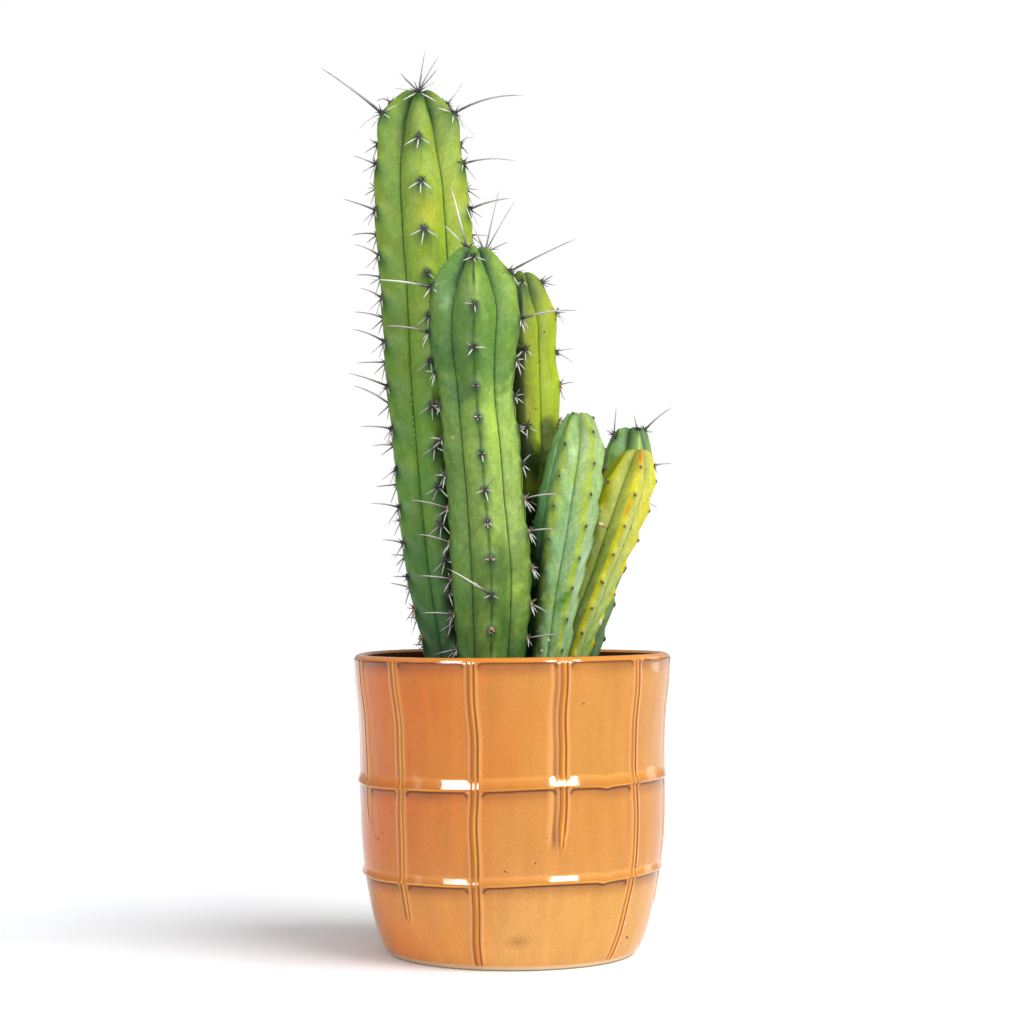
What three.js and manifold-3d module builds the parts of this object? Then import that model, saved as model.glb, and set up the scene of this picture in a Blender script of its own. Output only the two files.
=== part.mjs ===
// Potted blue myrtle cactus: six ribbed, columnar stems rooted side by side in a glazed pot.
//
// Millimetres, +Z up. The origin is the centre of the pot's flat underside, and -Y is the front.
// An angle goes round the vertical axis, from the front (-Y) towards the right (+X).

import * as THREE from "three";
import { mergeVertices } from "three/addons/utils/BufferGeometryUtils.js";
import Module from "manifold-3d";

const wasm = await Module();
wasm.setup();

// Driving dimensions of the pot and the soil

const GAP = 0.35; // clearance that neighbouring pieces keep
const POT_HEIGHT = 131.5;
const POT_WALL = 5;
const POT_FLOOR = 7; // thickness of the bottom
const TURNED_SIDES = 40; // facets round the pot and the soil
const LIP_HEIGHT = 4; // height over which the wall rounds over into the rim
const FOOT_CHAMFER = 1;
const INNER_CORNER = 12; // radius where the inner wall meets the bottom
const FLOOR_MARGIN = 2; // flat strip between that corner's last section and the inner wall's foot

// Outer wall: [height, radius]. A nearly straight cylinder with a rounded foot and a flared rim.
const POT_OUTLINE = [
  [0, 53.8],
  [3, 56.4],
  [7, 58.3],
  [14, 60.7],
  [24, 63],
  [38, 65.4],
  [52, 66.9],
  [66, 67.4],
  [92, 67.3],
  [106, 67.9],
  [120, 69.4],
  [POT_HEIGHT, 70],
];

// Trailed relief: two raised hoops right round the wall, crossed by beads that run down from the rim.
const HOOP_HEIGHTS = [76.8, 37.2];
const HOOP_RISE = 1;
const HOOP_HALF_WIDTH = 1.9;
const BEAD_RADIUS = 1.7;
const BEAD_SIDES = 6;
const BEAD_STEP = 14; // length of one straight stretch of a bead
const BEAD_RISE = 0.9; // how far a bead stands out of the wall
const BEAD_TOP = 127; // beads start just under the rim
const FOOT_END = 3; // where the longest beads stop, just above the underside

// [angle in degrees, height of the lower end]
const BEADS = [
  [-69, 58],
  [-45.5, 20],
  [-14.6, FOOT_END],
  [18, 50],
  [51, FOOT_END],
  [84, 24],
  [117, FOOT_END],
  [149, 56],
  [-178, FOOT_END],
  [-146, 30],
  [-116, FOOT_END],
  [-92, 62],
];

const SOIL_TOP = 117.5;
const SOIL_CROWN = 1.5; // the soil is heaped up by this much at the middle
const SOIL_FLAT = 30; // radius of the heap's level middle
const ROOT_END = 92; // depth to which each stem is planted
const ROOT_ROUNDING = 7; // height over which a stem closes at its planted end
const ROOT_HEIGHTS = [ROOT_END, ROOT_END + 1, ROOT_END + 3, ROOT_END + ROOT_ROUNDING];
const COLLAR = SOIL_TOP + 2; // first cross-section of a stem above the soil
const SMALLEST_RADIUS = 0.01; // a section slimmer than this is a point

// Driving dimensions of the stems
//
// rows: [height, axis x, axis y, radius over the ribs], from the planted end to the tip.
// crown: height over which the tip rounds over; crownSquare: above 2, the crown is flatter on top.
// front: angle of rib 1. valley: radius in the grooves, as a share of the radius over the ribs.
// ladder: heights of the areoles on rib 1, from the tip down.
// phases: for each rib, how far its areoles lie below those of rib 1, as a share of their spacing.
// centrals: for each rib, the lengths of the long central spines, from the tip down. 0 is an areole
// that has no room for spines, because the next stem stands against it.
// step: spacing of the cross-sections, as a share of the areoles' spacing.

const PEAKEDNESS = 0.35; // 0 gives round lobes between the grooves, 1 gives straight flanks
const SWELL = 0.045; // how far a rib stands out at an areole, as a share of the radius
const SWELL_SKEW = 1.45; // above 1, the step above an areole is shorter than the slope below it
const FACETS_PER_RIB = 4;
const CLEAR_OF_COLLAR = 6; // least height between the collar and the next cross-section
const CROWN_SHARES = [0.1, 0.45, 0.72, 0.9, 1]; // where the rounded tip has its cross-sections

const STEMS = [
  {
    name: "tall_stem",
    step: 0.5,
    colour: 0x7fa63c,
    ribs: 6,
    front: 0,
    valley: 0.81,
    crown: 18,
    crownSquare: 2.2,
    rows: [
      [ROOT_END, -26, 8, 12],
      [117, -26, 8, 14.9],
      [133, -26.2, 8, 16],
      [160, -28.8, 8.6, 18.6],
      [189, -31.7, 9.4, 21],
      [224, -34.8, 11, 21.4],
      [243, -36.1, 12.2, 22.4],
      [263, -36.8, 13.6, 24],
      [291, -37.8, 15, 24.6],
      [334, -40.2, 16, 25.1],
      [355, -41.4, 16.4, 23.3],
      [377, -42.1, 16.8, 21.4],
      [388, -42.4, 17, 19.5],
    ],
    ladder: [
      381, 361.7, 341.6, 320, 300.5, 281.4, 261, 241.4,
      222.8, 205, 188.7, 172.8, 158.7, 145, 133,
    ],
    phases: [0, 0.5, 0.12, 0.6, 0.08, 0.53],
    centrals: [
      [16, 7, 6, 5],
      [36, 27, 21, 14],
      [13, 9, 11, 12],
      [14, 16, 14, 12],
      [8, 14, 16, 16],
      [37, 12, 19, 15],
    ],
  },
  {
    name: "middle_stem",
    step: 0.5,
    colour: 0x5c9160,
    ribs: 5,
    front: 0,
    valley: 0.8,
    crown: 22,
    crownSquare: 2,
    rows: [
      [ROOT_END, -9, -20, 11.5],
      [117, -9, -20, 14.2],
      [133, -8.9, -20, 15.4],
      [155, -8.7, -20.5, 17.4],
      [173, -9.2, -20.9, 18],
      [199, -11.4, -21.5, 17.1],
      [221, -13.2, -22, 17.3],
      [247, -15.6, -22.6, 16.9],
      [266, -16.5, -23, 19.6],
      [282, -16.1, -23.3, 20.4],
      [295, -16.5, -23.6, 20.2],
      [310.7, -16.6, -24, 18],
    ],
    ladder: [303.3, 281.7, 263.2, 247, 233.6, 218, 202.3, 189, 173.2, 157.4, 142.5],
    phases: [0, 0.25, -0.2, -0.28, 0.57],
    centrals: [
      [6, 6],
      [32, 26],
      [26, 12],
      [30, 0],
      [26, 22],
    ],
  },
  {
    name: "back_stem",
    step: 0.5,
    colour: 0x93b83c,
    ribs: 5,
    front: 10,
    valley: 0.74,
    crown: 22,
    crownSquare: 2,
    rows: [
      [ROOT_END, -4, 28, 9],
      [117, -4, 28, 12],
      [140, -2, 27.6, 13.5],
      [173, 2, 27, 16.4],
      [200, 4, 26.6, 18],
      [234, 3.4, 26.2, 18.2],
      [269, 2.4, 26, 18.2],
      [292, 2.3, 26, 17.4],
      [306.5, 2.7, 26, 16],
    ],
    ladder: [299.7, 268, 233, 200, 168, 138],
    phases: [0, 0.42, 0.8, 0.2, 0.6],
    centrals: [[5], [7], [12], [12], [0]],
  },
  {
    name: "front_stem",
    step: 1,
    colour: 0x7fae72,
    ribs: 6,
    front: -20,
    valley: 0.8,
    crown: 14,
    crownSquare: 2.5,
    rows: [
      [ROOT_END, 12.6, -5, 8.5],
      [117, 12.6, -5, 10.6],
      [132, 14.2, -5, 11.1],
      [144, 15.8, -5.3, 11.5],
      [160, 17.8, -5.8, 12.5],
      [180, 21.2, -6.3, 14.3],
      [191, 22.9, -6.7, 14.8],
      [207, 25.5, -7.1, 14.4],
      [222, 27.8, -7.5, 12.8],
      [238.8, 28.9, -8, 11],
    ],
    ladder: [237, 223.4, 209.4, 196.2, 181.8, 168.3, 155.2, 141.3, 128],
    phases: [0, 0.54, 0.04, 0.5, 0, 0.46],
    centrals: [],
  },
  {
    name: "leaning_stem",
    step: 1,
    colour: 0xa9b52f,
    ribs: 6,
    front: 22,
    valley: 0.8,
    crown: 16,
    crownSquare: 2.2,
    rows: [
      [ROOT_END, 20.4, 17, 8.5],
      [112, 20.4, 17, 10.6],
      [134, 24.6, 15.9, 11.5],
      [157, 33.2, 14.9, 12],
      [169, 37.9, 14.4, 12.3],
      [181, 42.1, 13.9, 13.6],
      [189, 44.9, 13.5, 14],
      [200, 48.8, 13, 13.6],
      [210, 52, 12.6, 12.6],
      [223.7, 56.6, 12, 11],
    ],
    ladder: [214.5, 202, 188.1, 175.4, 163.2, 151.6, 140.5, 129.5],
    phases: [0, 0.48, 0, 0.5, 0.02, 0.52],
    centrals: [],
  },
  {
    name: "rear_stem",
    step: 1,
    colour: 0x4c7a4c,
    ribs: 5,
    front: 26,
    valley: 0.76,
    crown: 14,
    crownSquare: 2.2,
    rows: [
      [ROOT_END, 28, 38.6, 8],
      [117, 28, 38.6, 9.6],
      [132, 30.6, 38.2, 10.2],
      [148, 34.2, 37.8, 11.1],
      [164, 37.9, 37.6, 11.8],
      [190, 45.3, 37.4, 12.4],
      [217, 52.4, 37.2, 12.5],
      [235.5, 55, 37, 11.5],
    ],
    ladder: [233.5, 217, 201, 185, 169, 153, 137],
    phases: [0, 0, 0.4, 0.1, 0.2],
    centrals: [[7], [17], [10], [13], [5]],
  },
];

// Areole pads and spines

const PAD_RADIUS = 1.7;
const PAD_TOP_RADIUS = 1.1;
const PAD_HEIGHT = 1.2;
const PAD_SIDES = 5;
const SPINE_SIDES = 3;
const CENTRAL_RADIUS = 0.55;
const CENTRAL_LEAN = 4; // degrees away from the areole's own axis
const RADIAL_RADIUS = 0.4;
const RADIAL_LENGTH = 8;
const RADIAL_LEAN = 66;
const RADIAL_CLOCKS = [125, 180, 235]; // degrees round that axis, from straight up the rib
const TANGENT_REACH = 2; // the crest's slope at a cluster is taken over this distance each way

const POT_COLOUR = 0xd9833f;
const SOIL_COLOUR = 0x3a2a20;
const SPINE_COLOUR = 0x6b5a55;

const radians = THREE.MathUtils.degToRad;
const lerp = THREE.MathUtils.lerp;

// Smooth curve through rows sorted by their first column: the other columns at the place `at`.
function along(rows, at) {
  const last = rows.length - 2;
  let i = 0;
  while (i < last && rows[i + 1][0] < at) i += 1;
  const slope = (row, column) => {
    const before = rows[Math.max(row - 1, 0)];
    const after = rows[Math.min(row + 1, rows.length - 1)];
    return (after[column] - before[column]) / (after[0] - before[0]);
  };
  const span = rows[i + 1][0] - rows[i][0];
  const t = THREE.MathUtils.clamp((at - rows[i][0]) / span, 0, 1);
  const values = [];
  for (let column = 1; column < rows[i].length; column += 1) {
    const from = rows[i][column];
    const to = rows[i + 1][column];
    const leave = slope(i, column) * span;
    const arrive = slope(i + 1, column) * span;
    const eased = t * t * (3 - 2 * t);
    values.push(lerp(from, to, eased) + t * (1 - t) * ((1 - t) * leave - t * arrive));
  }
  return values;
}

// Solids and geometries

function toSolid(geometry) {
  const bare = geometry.clone();
  bare.deleteAttribute("normal");
  bare.deleteAttribute("uv");
  const merged = mergeVertices(bare);
  return new wasm.Manifold(
    new wasm.Mesh({
      numProp: 3,
      vertProperties: merged.attributes.position.array,
      triVerts: new Uint32Array(merged.index.array),
    }),
  );
}

function toGeometry(solid) {
  const mesh = solid.getMesh();
  const geometry = new THREE.BufferGeometry();
  geometry.setAttribute("position", new THREE.BufferAttribute(mesh.vertProperties, 3));
  geometry.setIndex(new THREE.BufferAttribute(mesh.triVerts, 1));
  geometry.computeVertexNormals();
  return geometry;
}

// Solid turned round the vertical axis. profile: [radius, height] from the bottom of the outside up.
function turned(profile, sides) {
  const points = profile.map(([radius, height]) => new THREE.Vector2(radius, height));
  return new THREE.LatheGeometry(points, sides).rotateX(Math.PI / 2);
}

function named(name, geometry, material) {
  const mesh = new THREE.Mesh(geometry, new THREE.MeshStandardMaterial(material));
  mesh.name = name;
  return mesh;
}

// The pot

const OUTER_STEPS = [3, 8, 16, 26, 52, 64, 95, 112]; // cross-sections of the plain wall
const INNER_STEPS = [POT_FLOOR + 4, POT_FLOOR + INNER_CORNER, 40, 85, SOIL_TOP];
const LIP_TURNS = [40, 90, 140]; // degrees round the rim's rounding, from the outside

const wallRadius = (height) => along(POT_OUTLINE, height)[0];

// How far the hoops stand out of the wall at a height.
function hoopRise(height) {
  const rises = HOOP_HEIGHTS.map((hoop) => {
    const share = Math.abs(height - hoop) / HOOP_HALF_WIDTH;
    return share < 1 ? HOOP_RISE * (1 - share * share) : 0;
  });
  return Math.max(...rises);
}

function innerRadius(height) {
  const corner = Math.max(0, POT_FLOOR + INNER_CORNER - height);
  const rounding = INNER_CORNER - Math.sqrt(INNER_CORNER ** 2 - corner ** 2);
  return wallRadius(height) - POT_WALL - rounding;
}

// Radius of the flat bottom inside the pot.
function floorRadius() {
  return innerRadius(INNER_STEPS[0]) - FLOOR_MARGIN;
}

function potProfile() {
  const hoopSteps = [];
  for (const hoop of HOOP_HEIGHTS) {
    hoopSteps.push(hoop - HOOP_HALF_WIDTH, hoop, hoop + HOOP_HALF_WIDTH);
  }
  const outside = [FOOT_CHAMFER, ...OUTER_STEPS, ...hoopSteps, POT_HEIGHT - LIP_HEIGHT]
    .sort((a, b) => a - b)
    .map((height) => [wallRadius(height) + hoopRise(height), height]);

  const lipCentre = wallRadius(POT_HEIGHT) - POT_WALL / 2;
  const lip = LIP_TURNS.map((turn) => [
    lipCentre + (POT_WALL / 2) * Math.cos(radians(turn)),
    POT_HEIGHT - LIP_HEIGHT * (1 - Math.sin(radians(turn))),
  ]);

  const inside = INNER_STEPS.map((height) => [innerRadius(height), height]).reverse();
  return [
    [0, 0],
    [wallRadius(0) - FOOT_CHAMFER, 0],
    ...outside,
    ...lip,
    ...inside,
    [floorRadius(), POT_FLOOR],
    [0, POT_FLOOR],
  ];
}

// Flat outline of a regular polygon.
function ring(radius, sides) {
  const corners = [];
  for (let i = 0; i < sides; i += 1) {
    const turn = (2 * Math.PI * i) / sides;
    corners.push(new THREE.Vector2(radius * Math.cos(turn), radius * Math.sin(turn)));
  }
  return new THREE.Shape(corners);
}

// A bead trailed down the wall: a slim rod, sunk into the wall over most of its thickness.
function bead([angle, lowerEnd]) {
  const direction = new THREE.Vector3(Math.sin(radians(angle)), -Math.cos(radians(angle)), 0);
  const steps = Math.round((BEAD_TOP - lowerEnd) / BEAD_STEP);
  const points = [];
  for (let i = 0; i <= steps; i += 1) {
    const height = lerp(BEAD_TOP, lowerEnd, i / steps);
    const radius = wallRadius(height) + BEAD_RISE - BEAD_RADIUS;
    points.push(direction.clone().multiplyScalar(radius).setZ(height));
  }
  return new THREE.ExtrudeGeometry(ring(BEAD_RADIUS, BEAD_SIDES), {
    extrudePath: new THREE.CatmullRomCurve3(points),
    steps,
    bevelEnabled: false,
  });
}

function potGeometry() {
  let pot = toSolid(turned(potProfile(), TURNED_SIDES));
  for (const spec of BEADS) pot = pot.add(toSolid(bead(spec)));
  return toGeometry(pot);
}

// The stems

// Height of place q on the areole ladder: 0 is the first areole, 1 the next below it, and so on.
function ladderHeight(stem, q) {
  const { ladder } = stem;
  const i = THREE.MathUtils.clamp(Math.floor(q), 0, ladder.length - 2);
  return lerp(ladder[i], ladder[i + 1], q - i);
}

function ladderPlace(stem, height) {
  const { ladder } = stem;
  let i = 0;
  while (i < ladder.length - 2 && ladder[i + 1] > height) i += 1;
  return i + (ladder[i] - height) / (ladder[i] - ladder[i + 1]);
}

// 1 at an areole of this rib, 0 in the notch just above it.
function swell(stem, rib, height) {
  const place = ladderPlace(stem, height) - stem.phases[rib];
  if (place < 0) return 1;
  const below = place - Math.floor(place);
  return 0.5 + 0.5 * Math.cos(2 * Math.PI * below ** SWELL_SKEW);
}

// Radius over the ribs, closed at the crown and at the planted end.
function crestRadius(stem, height) {
  const [, , radius] = along(stem.rows, height);
  const tip = stem.rows.at(-1)[0];
  const up = Math.max(0, (height - (tip - stem.crown)) / stem.crown);
  const down = Math.max(0, (ROOT_END + ROOT_ROUNDING - height) / ROOT_ROUNDING);
  const crownShare = Math.sqrt(Math.max(0, 1 - up ** stem.crownSquare));
  const rootShare = Math.sqrt(Math.max(0, 1 - down ** 2));
  const closed = radius * crownShare * rootShare;
  return closed < SMALLEST_RADIUS ? 0 : closed;
}

// Share of the crest radius that the stem reaches at an angle: 1 on a rib, less in a groove.
function ribShare(stem, angle, height) {
  const pitch = (2 * Math.PI) / stem.ribs;
  const turn = (angle - radians(stem.front)) / pitch;
  const rib = Math.round(turn);
  const off = 2 * Math.abs(turn - rib);
  const lobe = lerp(Math.cos((off * Math.PI) / 2), 1 - off, PEAKEDNESS);
  const index = ((rib % stem.ribs) + stem.ribs) % stem.ribs;
  const bump = SWELL * (swell(stem, index, height) - 0.5);
  return stem.valley + (1 - stem.valley + bump) * lobe;
}

function stemHeights(stem) {
  const tip = stem.rows.at(-1)[0];
  const shoulder = tip - stem.crown;
  const heights = [...ROOT_HEIGHTS, COLLAR];
  for (let q = 0; ladderHeight(stem, q) > COLLAR + CLEAR_OF_COLLAR; q += stem.step) {
    if (ladderHeight(stem, q) < shoulder) heights.push(ladderHeight(stem, q));
  }
  for (const share of CROWN_SHARES) heights.push(shoulder + share * stem.crown);
  return heights.sort((a, b) => a - b);
}

// A turned profile whose points are then pushed in at the grooves and moved onto the leaning axis.
// grow adds the same clearance all round, which makes the stem's shape into the cutter of its socket.
function stemGeometry(stem, heights = stemHeights(stem), grow = 0) {
  const profile = heights.map((height) => [crestRadius(stem, height), height]);
  if (profile.at(-1)[0] > 0) profile.push([0, heights.at(-1)]);
  const geometry = turned(profile, stem.ribs * FACETS_PER_RIB);
  geometry.rotateZ(radians(stem.front));
  const place = geometry.attributes.position;
  for (let i = 0; i < place.count; i += 1) {
    const [x, y, z] = [place.getX(i), place.getY(i), place.getZ(i)];
    const radius = Math.hypot(x, y);
    const angle = Math.atan2(x, -y);
    const share = ribShare(stem, angle, z) + (radius > SMALLEST_RADIUS ? grow / radius : 0);
    const [axisX, axisY] = along(stem.rows, z);
    const rootness = Math.max(0, (ROOT_END + ROOT_ROUNDING - z) / ROOT_ROUNDING);
    place.setXYZ(i, axisX + x * share, axisY + y * share, z - grow * rootness);
  }
  return geometry;
}

// Centre point of a rib's crest at a height.
function crestPoint(stem, rib, height) {
  const angle = radians(stem.front + (rib * 360) / stem.ribs);
  const radius = crestRadius(stem, height) * (1 + SWELL * (swell(stem, rib, height) - 0.5));
  const [axisX, axisY] = along(stem.rows, height);
  return new THREE.Vector3(axisX + radius * Math.sin(angle), axisY - radius * Math.cos(angle), height);
}

// Spine clusters

function spine(length, radius, lean, clock) {
  const cone = new THREE.ConeGeometry(radius, length, SPINE_SIDES).translate(0, length / 2, 0);
  cone.rotateX(Math.PI / 2); // along +Z, the areole's own axis
  cone.rotateX(radians(-lean));
  cone.rotateZ(radians(-clock));
  return cone.translate(0, 0, GAP + PAD_HEIGHT / 2);
}

// An areole's felt pad with its spines, in its own frame: +Z out of the stem, +Y up the rib.
function clusterGeometry(centralLength) {
  const pad = new THREE.CylinderGeometry(PAD_TOP_RADIUS, PAD_RADIUS, PAD_HEIGHT, PAD_SIDES);
  pad.rotateX(Math.PI / 2).translate(0, 0, GAP + PAD_HEIGHT / 2);
  const central = spine(centralLength, CENTRAL_RADIUS, CENTRAL_LEAN, 0);
  let cluster = toSolid(pad).add(toSolid(central));
  for (const clock of RADIAL_CLOCKS) {
    cluster = cluster.add(toSolid(spine(RADIAL_LENGTH, RADIAL_RADIUS, RADIAL_LEAN, clock)));
  }
  return toGeometry(cluster);
}

// Places a cluster on a rib's crest, turned square to the crest line.
function seatOnCrest(mesh, stem, rib, height) {
  const angle = radians(stem.front + (rib * 360) / stem.ribs);
  const tip = stem.rows.at(-1)[0];
  const reach = Math.min(TANGENT_REACH, (tip - height) / 2);
  const above = crestPoint(stem, rib, height + reach);
  const below = crestPoint(stem, rib, height - reach);
  const upRib = above.sub(below).normalize();
  const sideways = new THREE.Vector3(Math.cos(angle), Math.sin(angle), 0);
  const outward = new THREE.Vector3().crossVectors(sideways, upRib).normalize();
  const square = new THREE.Vector3().crossVectors(upRib, outward);
  mesh.position.copy(crestPoint(stem, rib, height));
  mesh.quaternion.setFromRotationMatrix(new THREE.Matrix4().makeBasis(square, upRib, outward));
}

function spineClusters(stem) {
  const group = new THREE.Group();
  stem.centrals.forEach((lengths, rib) => {
    lengths.forEach((length, row) => {
      if (length === 0) return;
      const name = `${stem.name}_spines_rib${rib + 1}_areole${row + 1}`;
      const horn = { color: SPINE_COLOUR, roughness: 0.7, metalness: 0 };
      const cluster = named(name, clusterGeometry(length), horn);
      seatOnCrest(cluster, stem, rib, ladderHeight(stem, row + stem.phases[rib]));
      group.add(cluster);
    });
  });
  return group;
}

// The soil, with a socket for each planted stem

function soilGeometry() {
  const profile = [
    [0, POT_FLOOR + GAP],
    [floorRadius() - GAP, POT_FLOOR + GAP],
    ...INNER_STEPS.map((height) => [innerRadius(height) - GAP, height]),
    [SOIL_FLAT, SOIL_TOP + SOIL_CROWN],
    [0, SOIL_TOP + SOIL_CROWN],
  ];
  const socketHeights = [...ROOT_HEIGHTS, COLLAR, COLLAR + 3];
  let soil = toSolid(turned(profile, TURNED_SIDES));
  for (const stem of STEMS) soil = soil.subtract(toSolid(stemGeometry(stem, socketHeights, GAP)));
  return toGeometry(soil);
}

// The whole object

const cactus = new THREE.Group();
cactus.add(named("pot", potGeometry(), { color: POT_COLOUR, roughness: 0.15, metalness: 0 }));
cactus.add(named("soil", soilGeometry(), { color: SOIL_COLOUR, roughness: 0.95, metalness: 0 }));
for (const stem of STEMS) {
  const plant = new THREE.Group();
  const skin = { color: stem.colour, roughness: 0.45, metalness: 0 };
  plant.add(named(stem.name, stemGeometry(stem), skin));
  plant.add(spineClusters(stem));
  cactus.add(plant);
}

export default cactus;
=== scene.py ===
# %% [markdown]
# # A potted blue myrtle cactus
#
# Six ribbed cactus stems stand in a glazed pot. Everything here is made in code: the stems are one
# formula bent along six different axes, the spines are small tapered tubes, and the pot is a turned
# shape with trailed relief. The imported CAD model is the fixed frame, so each piece already knows
# where it belongs. Lengths are written in millimetres and turned into metres once, at the mesh.

# %% Load the frame and keep its size
import math

import bpy
import numpy as np
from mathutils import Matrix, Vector, noise


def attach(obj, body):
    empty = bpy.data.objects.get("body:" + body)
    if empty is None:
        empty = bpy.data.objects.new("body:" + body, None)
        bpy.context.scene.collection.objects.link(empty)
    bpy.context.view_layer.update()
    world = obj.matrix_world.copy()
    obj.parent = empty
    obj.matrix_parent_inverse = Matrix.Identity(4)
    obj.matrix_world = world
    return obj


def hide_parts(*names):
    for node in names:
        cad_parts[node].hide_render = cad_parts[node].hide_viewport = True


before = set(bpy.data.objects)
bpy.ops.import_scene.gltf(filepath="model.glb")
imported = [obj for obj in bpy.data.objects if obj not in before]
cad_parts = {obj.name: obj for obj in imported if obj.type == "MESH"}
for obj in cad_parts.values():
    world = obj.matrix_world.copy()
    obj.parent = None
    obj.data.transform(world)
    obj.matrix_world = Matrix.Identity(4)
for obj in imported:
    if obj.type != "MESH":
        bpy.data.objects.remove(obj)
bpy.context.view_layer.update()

MM = 0.001

# %% [markdown]
# ## Helpers for colour and materials
#
# Colours on screen are sRGB, but light adds up in linear values, so a hex colour has to be
# converted before a shader uses it. One function does that. A second function adds any shader node,
# with its settings and its links in one line, which keeps each material readable from top to bottom.

# %% Colour and node helpers
def linear(hex_colour):
    """An sRGB hex colour as linear red, green, blue and alpha."""
    channels = [int(hex_colour[i:i + 2], 16) / 255 for i in (1, 3, 5)]
    return [c / 12.92 if c <= 0.04045 else ((c + 0.055) / 1.055) ** 2.4 for c in channels] + [1.0]


def add(tree, kind, inputs=None, stops=None, **settings):
    """Adds a shader node. An input takes a value, a hex colour, a socket or a node's first output."""
    node = tree.nodes.new("ShaderNode" + kind)
    for name, value in settings.items():
        setattr(node, name, value)
    for name, value in (inputs or {}).items():
        if isinstance(value, bpy.types.Node):
            value = next(socket for socket in value.outputs if socket.enabled)
        if isinstance(value, bpy.types.NodeSocket):
            tree.links.new(value, node.inputs[name])
        else:
            node.inputs[name].default_value = linear(value) if isinstance(value, str) else value
    if stops:
        ramp = node.color_ramp
        while len(ramp.elements) < len(stops):
            ramp.elements.new(0.5)
        for element, (place, colour) in zip(ramp.elements, stops):
            element.position = place
            element.color = linear(colour)
    return node


def new_material(name, surface):
    """A material whose Principled shader has the values in surface, as (material, tree, shader)."""
    material = bpy.data.materials.new(name)
    material.use_nodes = True
    tree = material.node_tree
    tree.nodes.clear()
    shader = add(tree, "BsdfPrincipled", surface)
    add(tree, "OutputMaterial", {"Surface": shader})
    return material, tree, shader


# Settings that many nodes share. A Mix node for colours has its factor in input 0 and the colours
# in 6 and 7. A MapRange node has the value in 0, goes from 1 to 2 and gives 3 to 4.
COLOURS = {"data_type": "RGBA"}
SHADES = {"data_type": "RGBA", "blend_type": "MULTIPLY"}
SOFT = {"interpolation_type": "SMOOTHSTEP"}
TIMES = {"operation": "MULTIPLY"}
PLUS = {"operation": "ADD"}
print("yellow-green #98B15C in linear values:", [round(c, 3) for c in linear("#98B15C")])

# %% [markdown]
# ## Camera
#
# The picture was taken from about a metre away, a little above the middle of the plant, with a long
# lens. The long lens keeps the pot's rim almost a straight line, which is why the camera stands
# back instead of coming close with a wide lens.

# %% Camera
CAMERA_DISTANCE = 1000
CAMERA_HEIGHT = 158.6
CAMERA_PITCH = 2.049
LENS = 78.92

camera = bpy.data.objects.new("camera", bpy.data.cameras.new("camera"))
camera.data.lens = LENS
camera.data.sensor_width = 36
camera.data.clip_start = 0.05
camera.data.clip_end = 50
camera.location = (0, -CAMERA_DISTANCE * MM, CAMERA_HEIGHT * MM)
camera.rotation_euler = (math.radians(90 + CAMERA_PITCH), 0, 0)
bpy.context.scene.collection.objects.link(camera)
bpy.context.scene.camera = camera
print("camera at", tuple(camera.location), "lens", LENS, "mm")

# %% [markdown]
# ## Studio
#
# The room is white. The camera sees it at full strength, and it lights the object at half of that,
# as walls further away would. The key light is a very wide lamp high at the right, so the plant's
# right side is brighter and the pot's soft shadow falls to the left. Two upright softboxes beside
# the camera are there for gloss alone: glaze shows them as white rectangles on every raised edge.
# A dim strip at the far left and one at the far right add soft upright streaks.

# %% World and floor
scene = bpy.context.scene
scene.view_settings.view_transform = "Standard"

world = bpy.data.worlds.new("white_room")
world.use_nodes = True
tree = world.node_tree
tree.nodes.clear()
seen = add(tree, "Background", {"Color": "#FFFFFF", "Strength": 1.0})
lighting = add(tree, "Background", {"Color": "#F7FAFF", "Strength": 0.5})
path = add(tree, "LightPath")
both_rooms = add(tree, "MixShader", {0: path.outputs["Is Camera Ray"], 1: lighting, 2: seen})
add(tree, "OutputWorld", {"Surface": both_rooms})
scene.world = world

paper, tree, shader = new_material("studio_paper", {"Roughness": 0.9, "Specular IOR Level": 0.1})
fibre = add(tree, "TexNoise", {"Scale": 900.0, "Detail": 3.0})
tint = add(tree, "Mix", {0: fibre, 6: "#F6F6F6", 7: "#FAFAFA"}, **COLOURS)
tree.links.new(tint.outputs[2], shader.inputs["Base Color"])

floor_mesh = bpy.data.meshes.new("studio_floor")
half = 20.0
floor_mesh.from_pydata([(-half, -half, 0), (half, -half, 0), (half, half, 0), (-half, half, 0)],
                       [], [(0, 1, 2, 3)])
floor_mesh.materials.append(paper)
studio_floor = bpy.data.objects.new("studio_floor", floor_mesh)
scene.collection.objects.link(studio_floor)
print("white room and a paper floor of", 2 * half, "m")

# %% Lights
AIMED_AT = Vector((0, 0, 0.12))


def aim(lamp, azimuth, elevation, distance):
    """Turns a lamp to the plant. Azimuth is from the front (-Y) towards the right (+X)."""
    a, e = math.radians(azimuth), math.radians(elevation)
    away = Vector((math.sin(a) * math.cos(e), -math.cos(a) * math.cos(e), math.sin(e)))
    lamp.location = AIMED_AT + away * distance
    lamp.rotation_euler = (-away).to_track_quat("-Z", "Y").to_euler()
    scene.collection.objects.link(lamp)


def wide_lamp(name, azimuth, elevation, spread, strength):
    """Even light from one side, with shadows as soft as its spread in degrees."""
    light = bpy.data.lights.new(name, "SUN")
    light.angle = math.radians(spread)
    light.energy = strength
    lamp = bpy.data.objects.new(name, light)
    lamp.visible_glossy = False
    aim(lamp, azimuth, elevation, 2)


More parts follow.
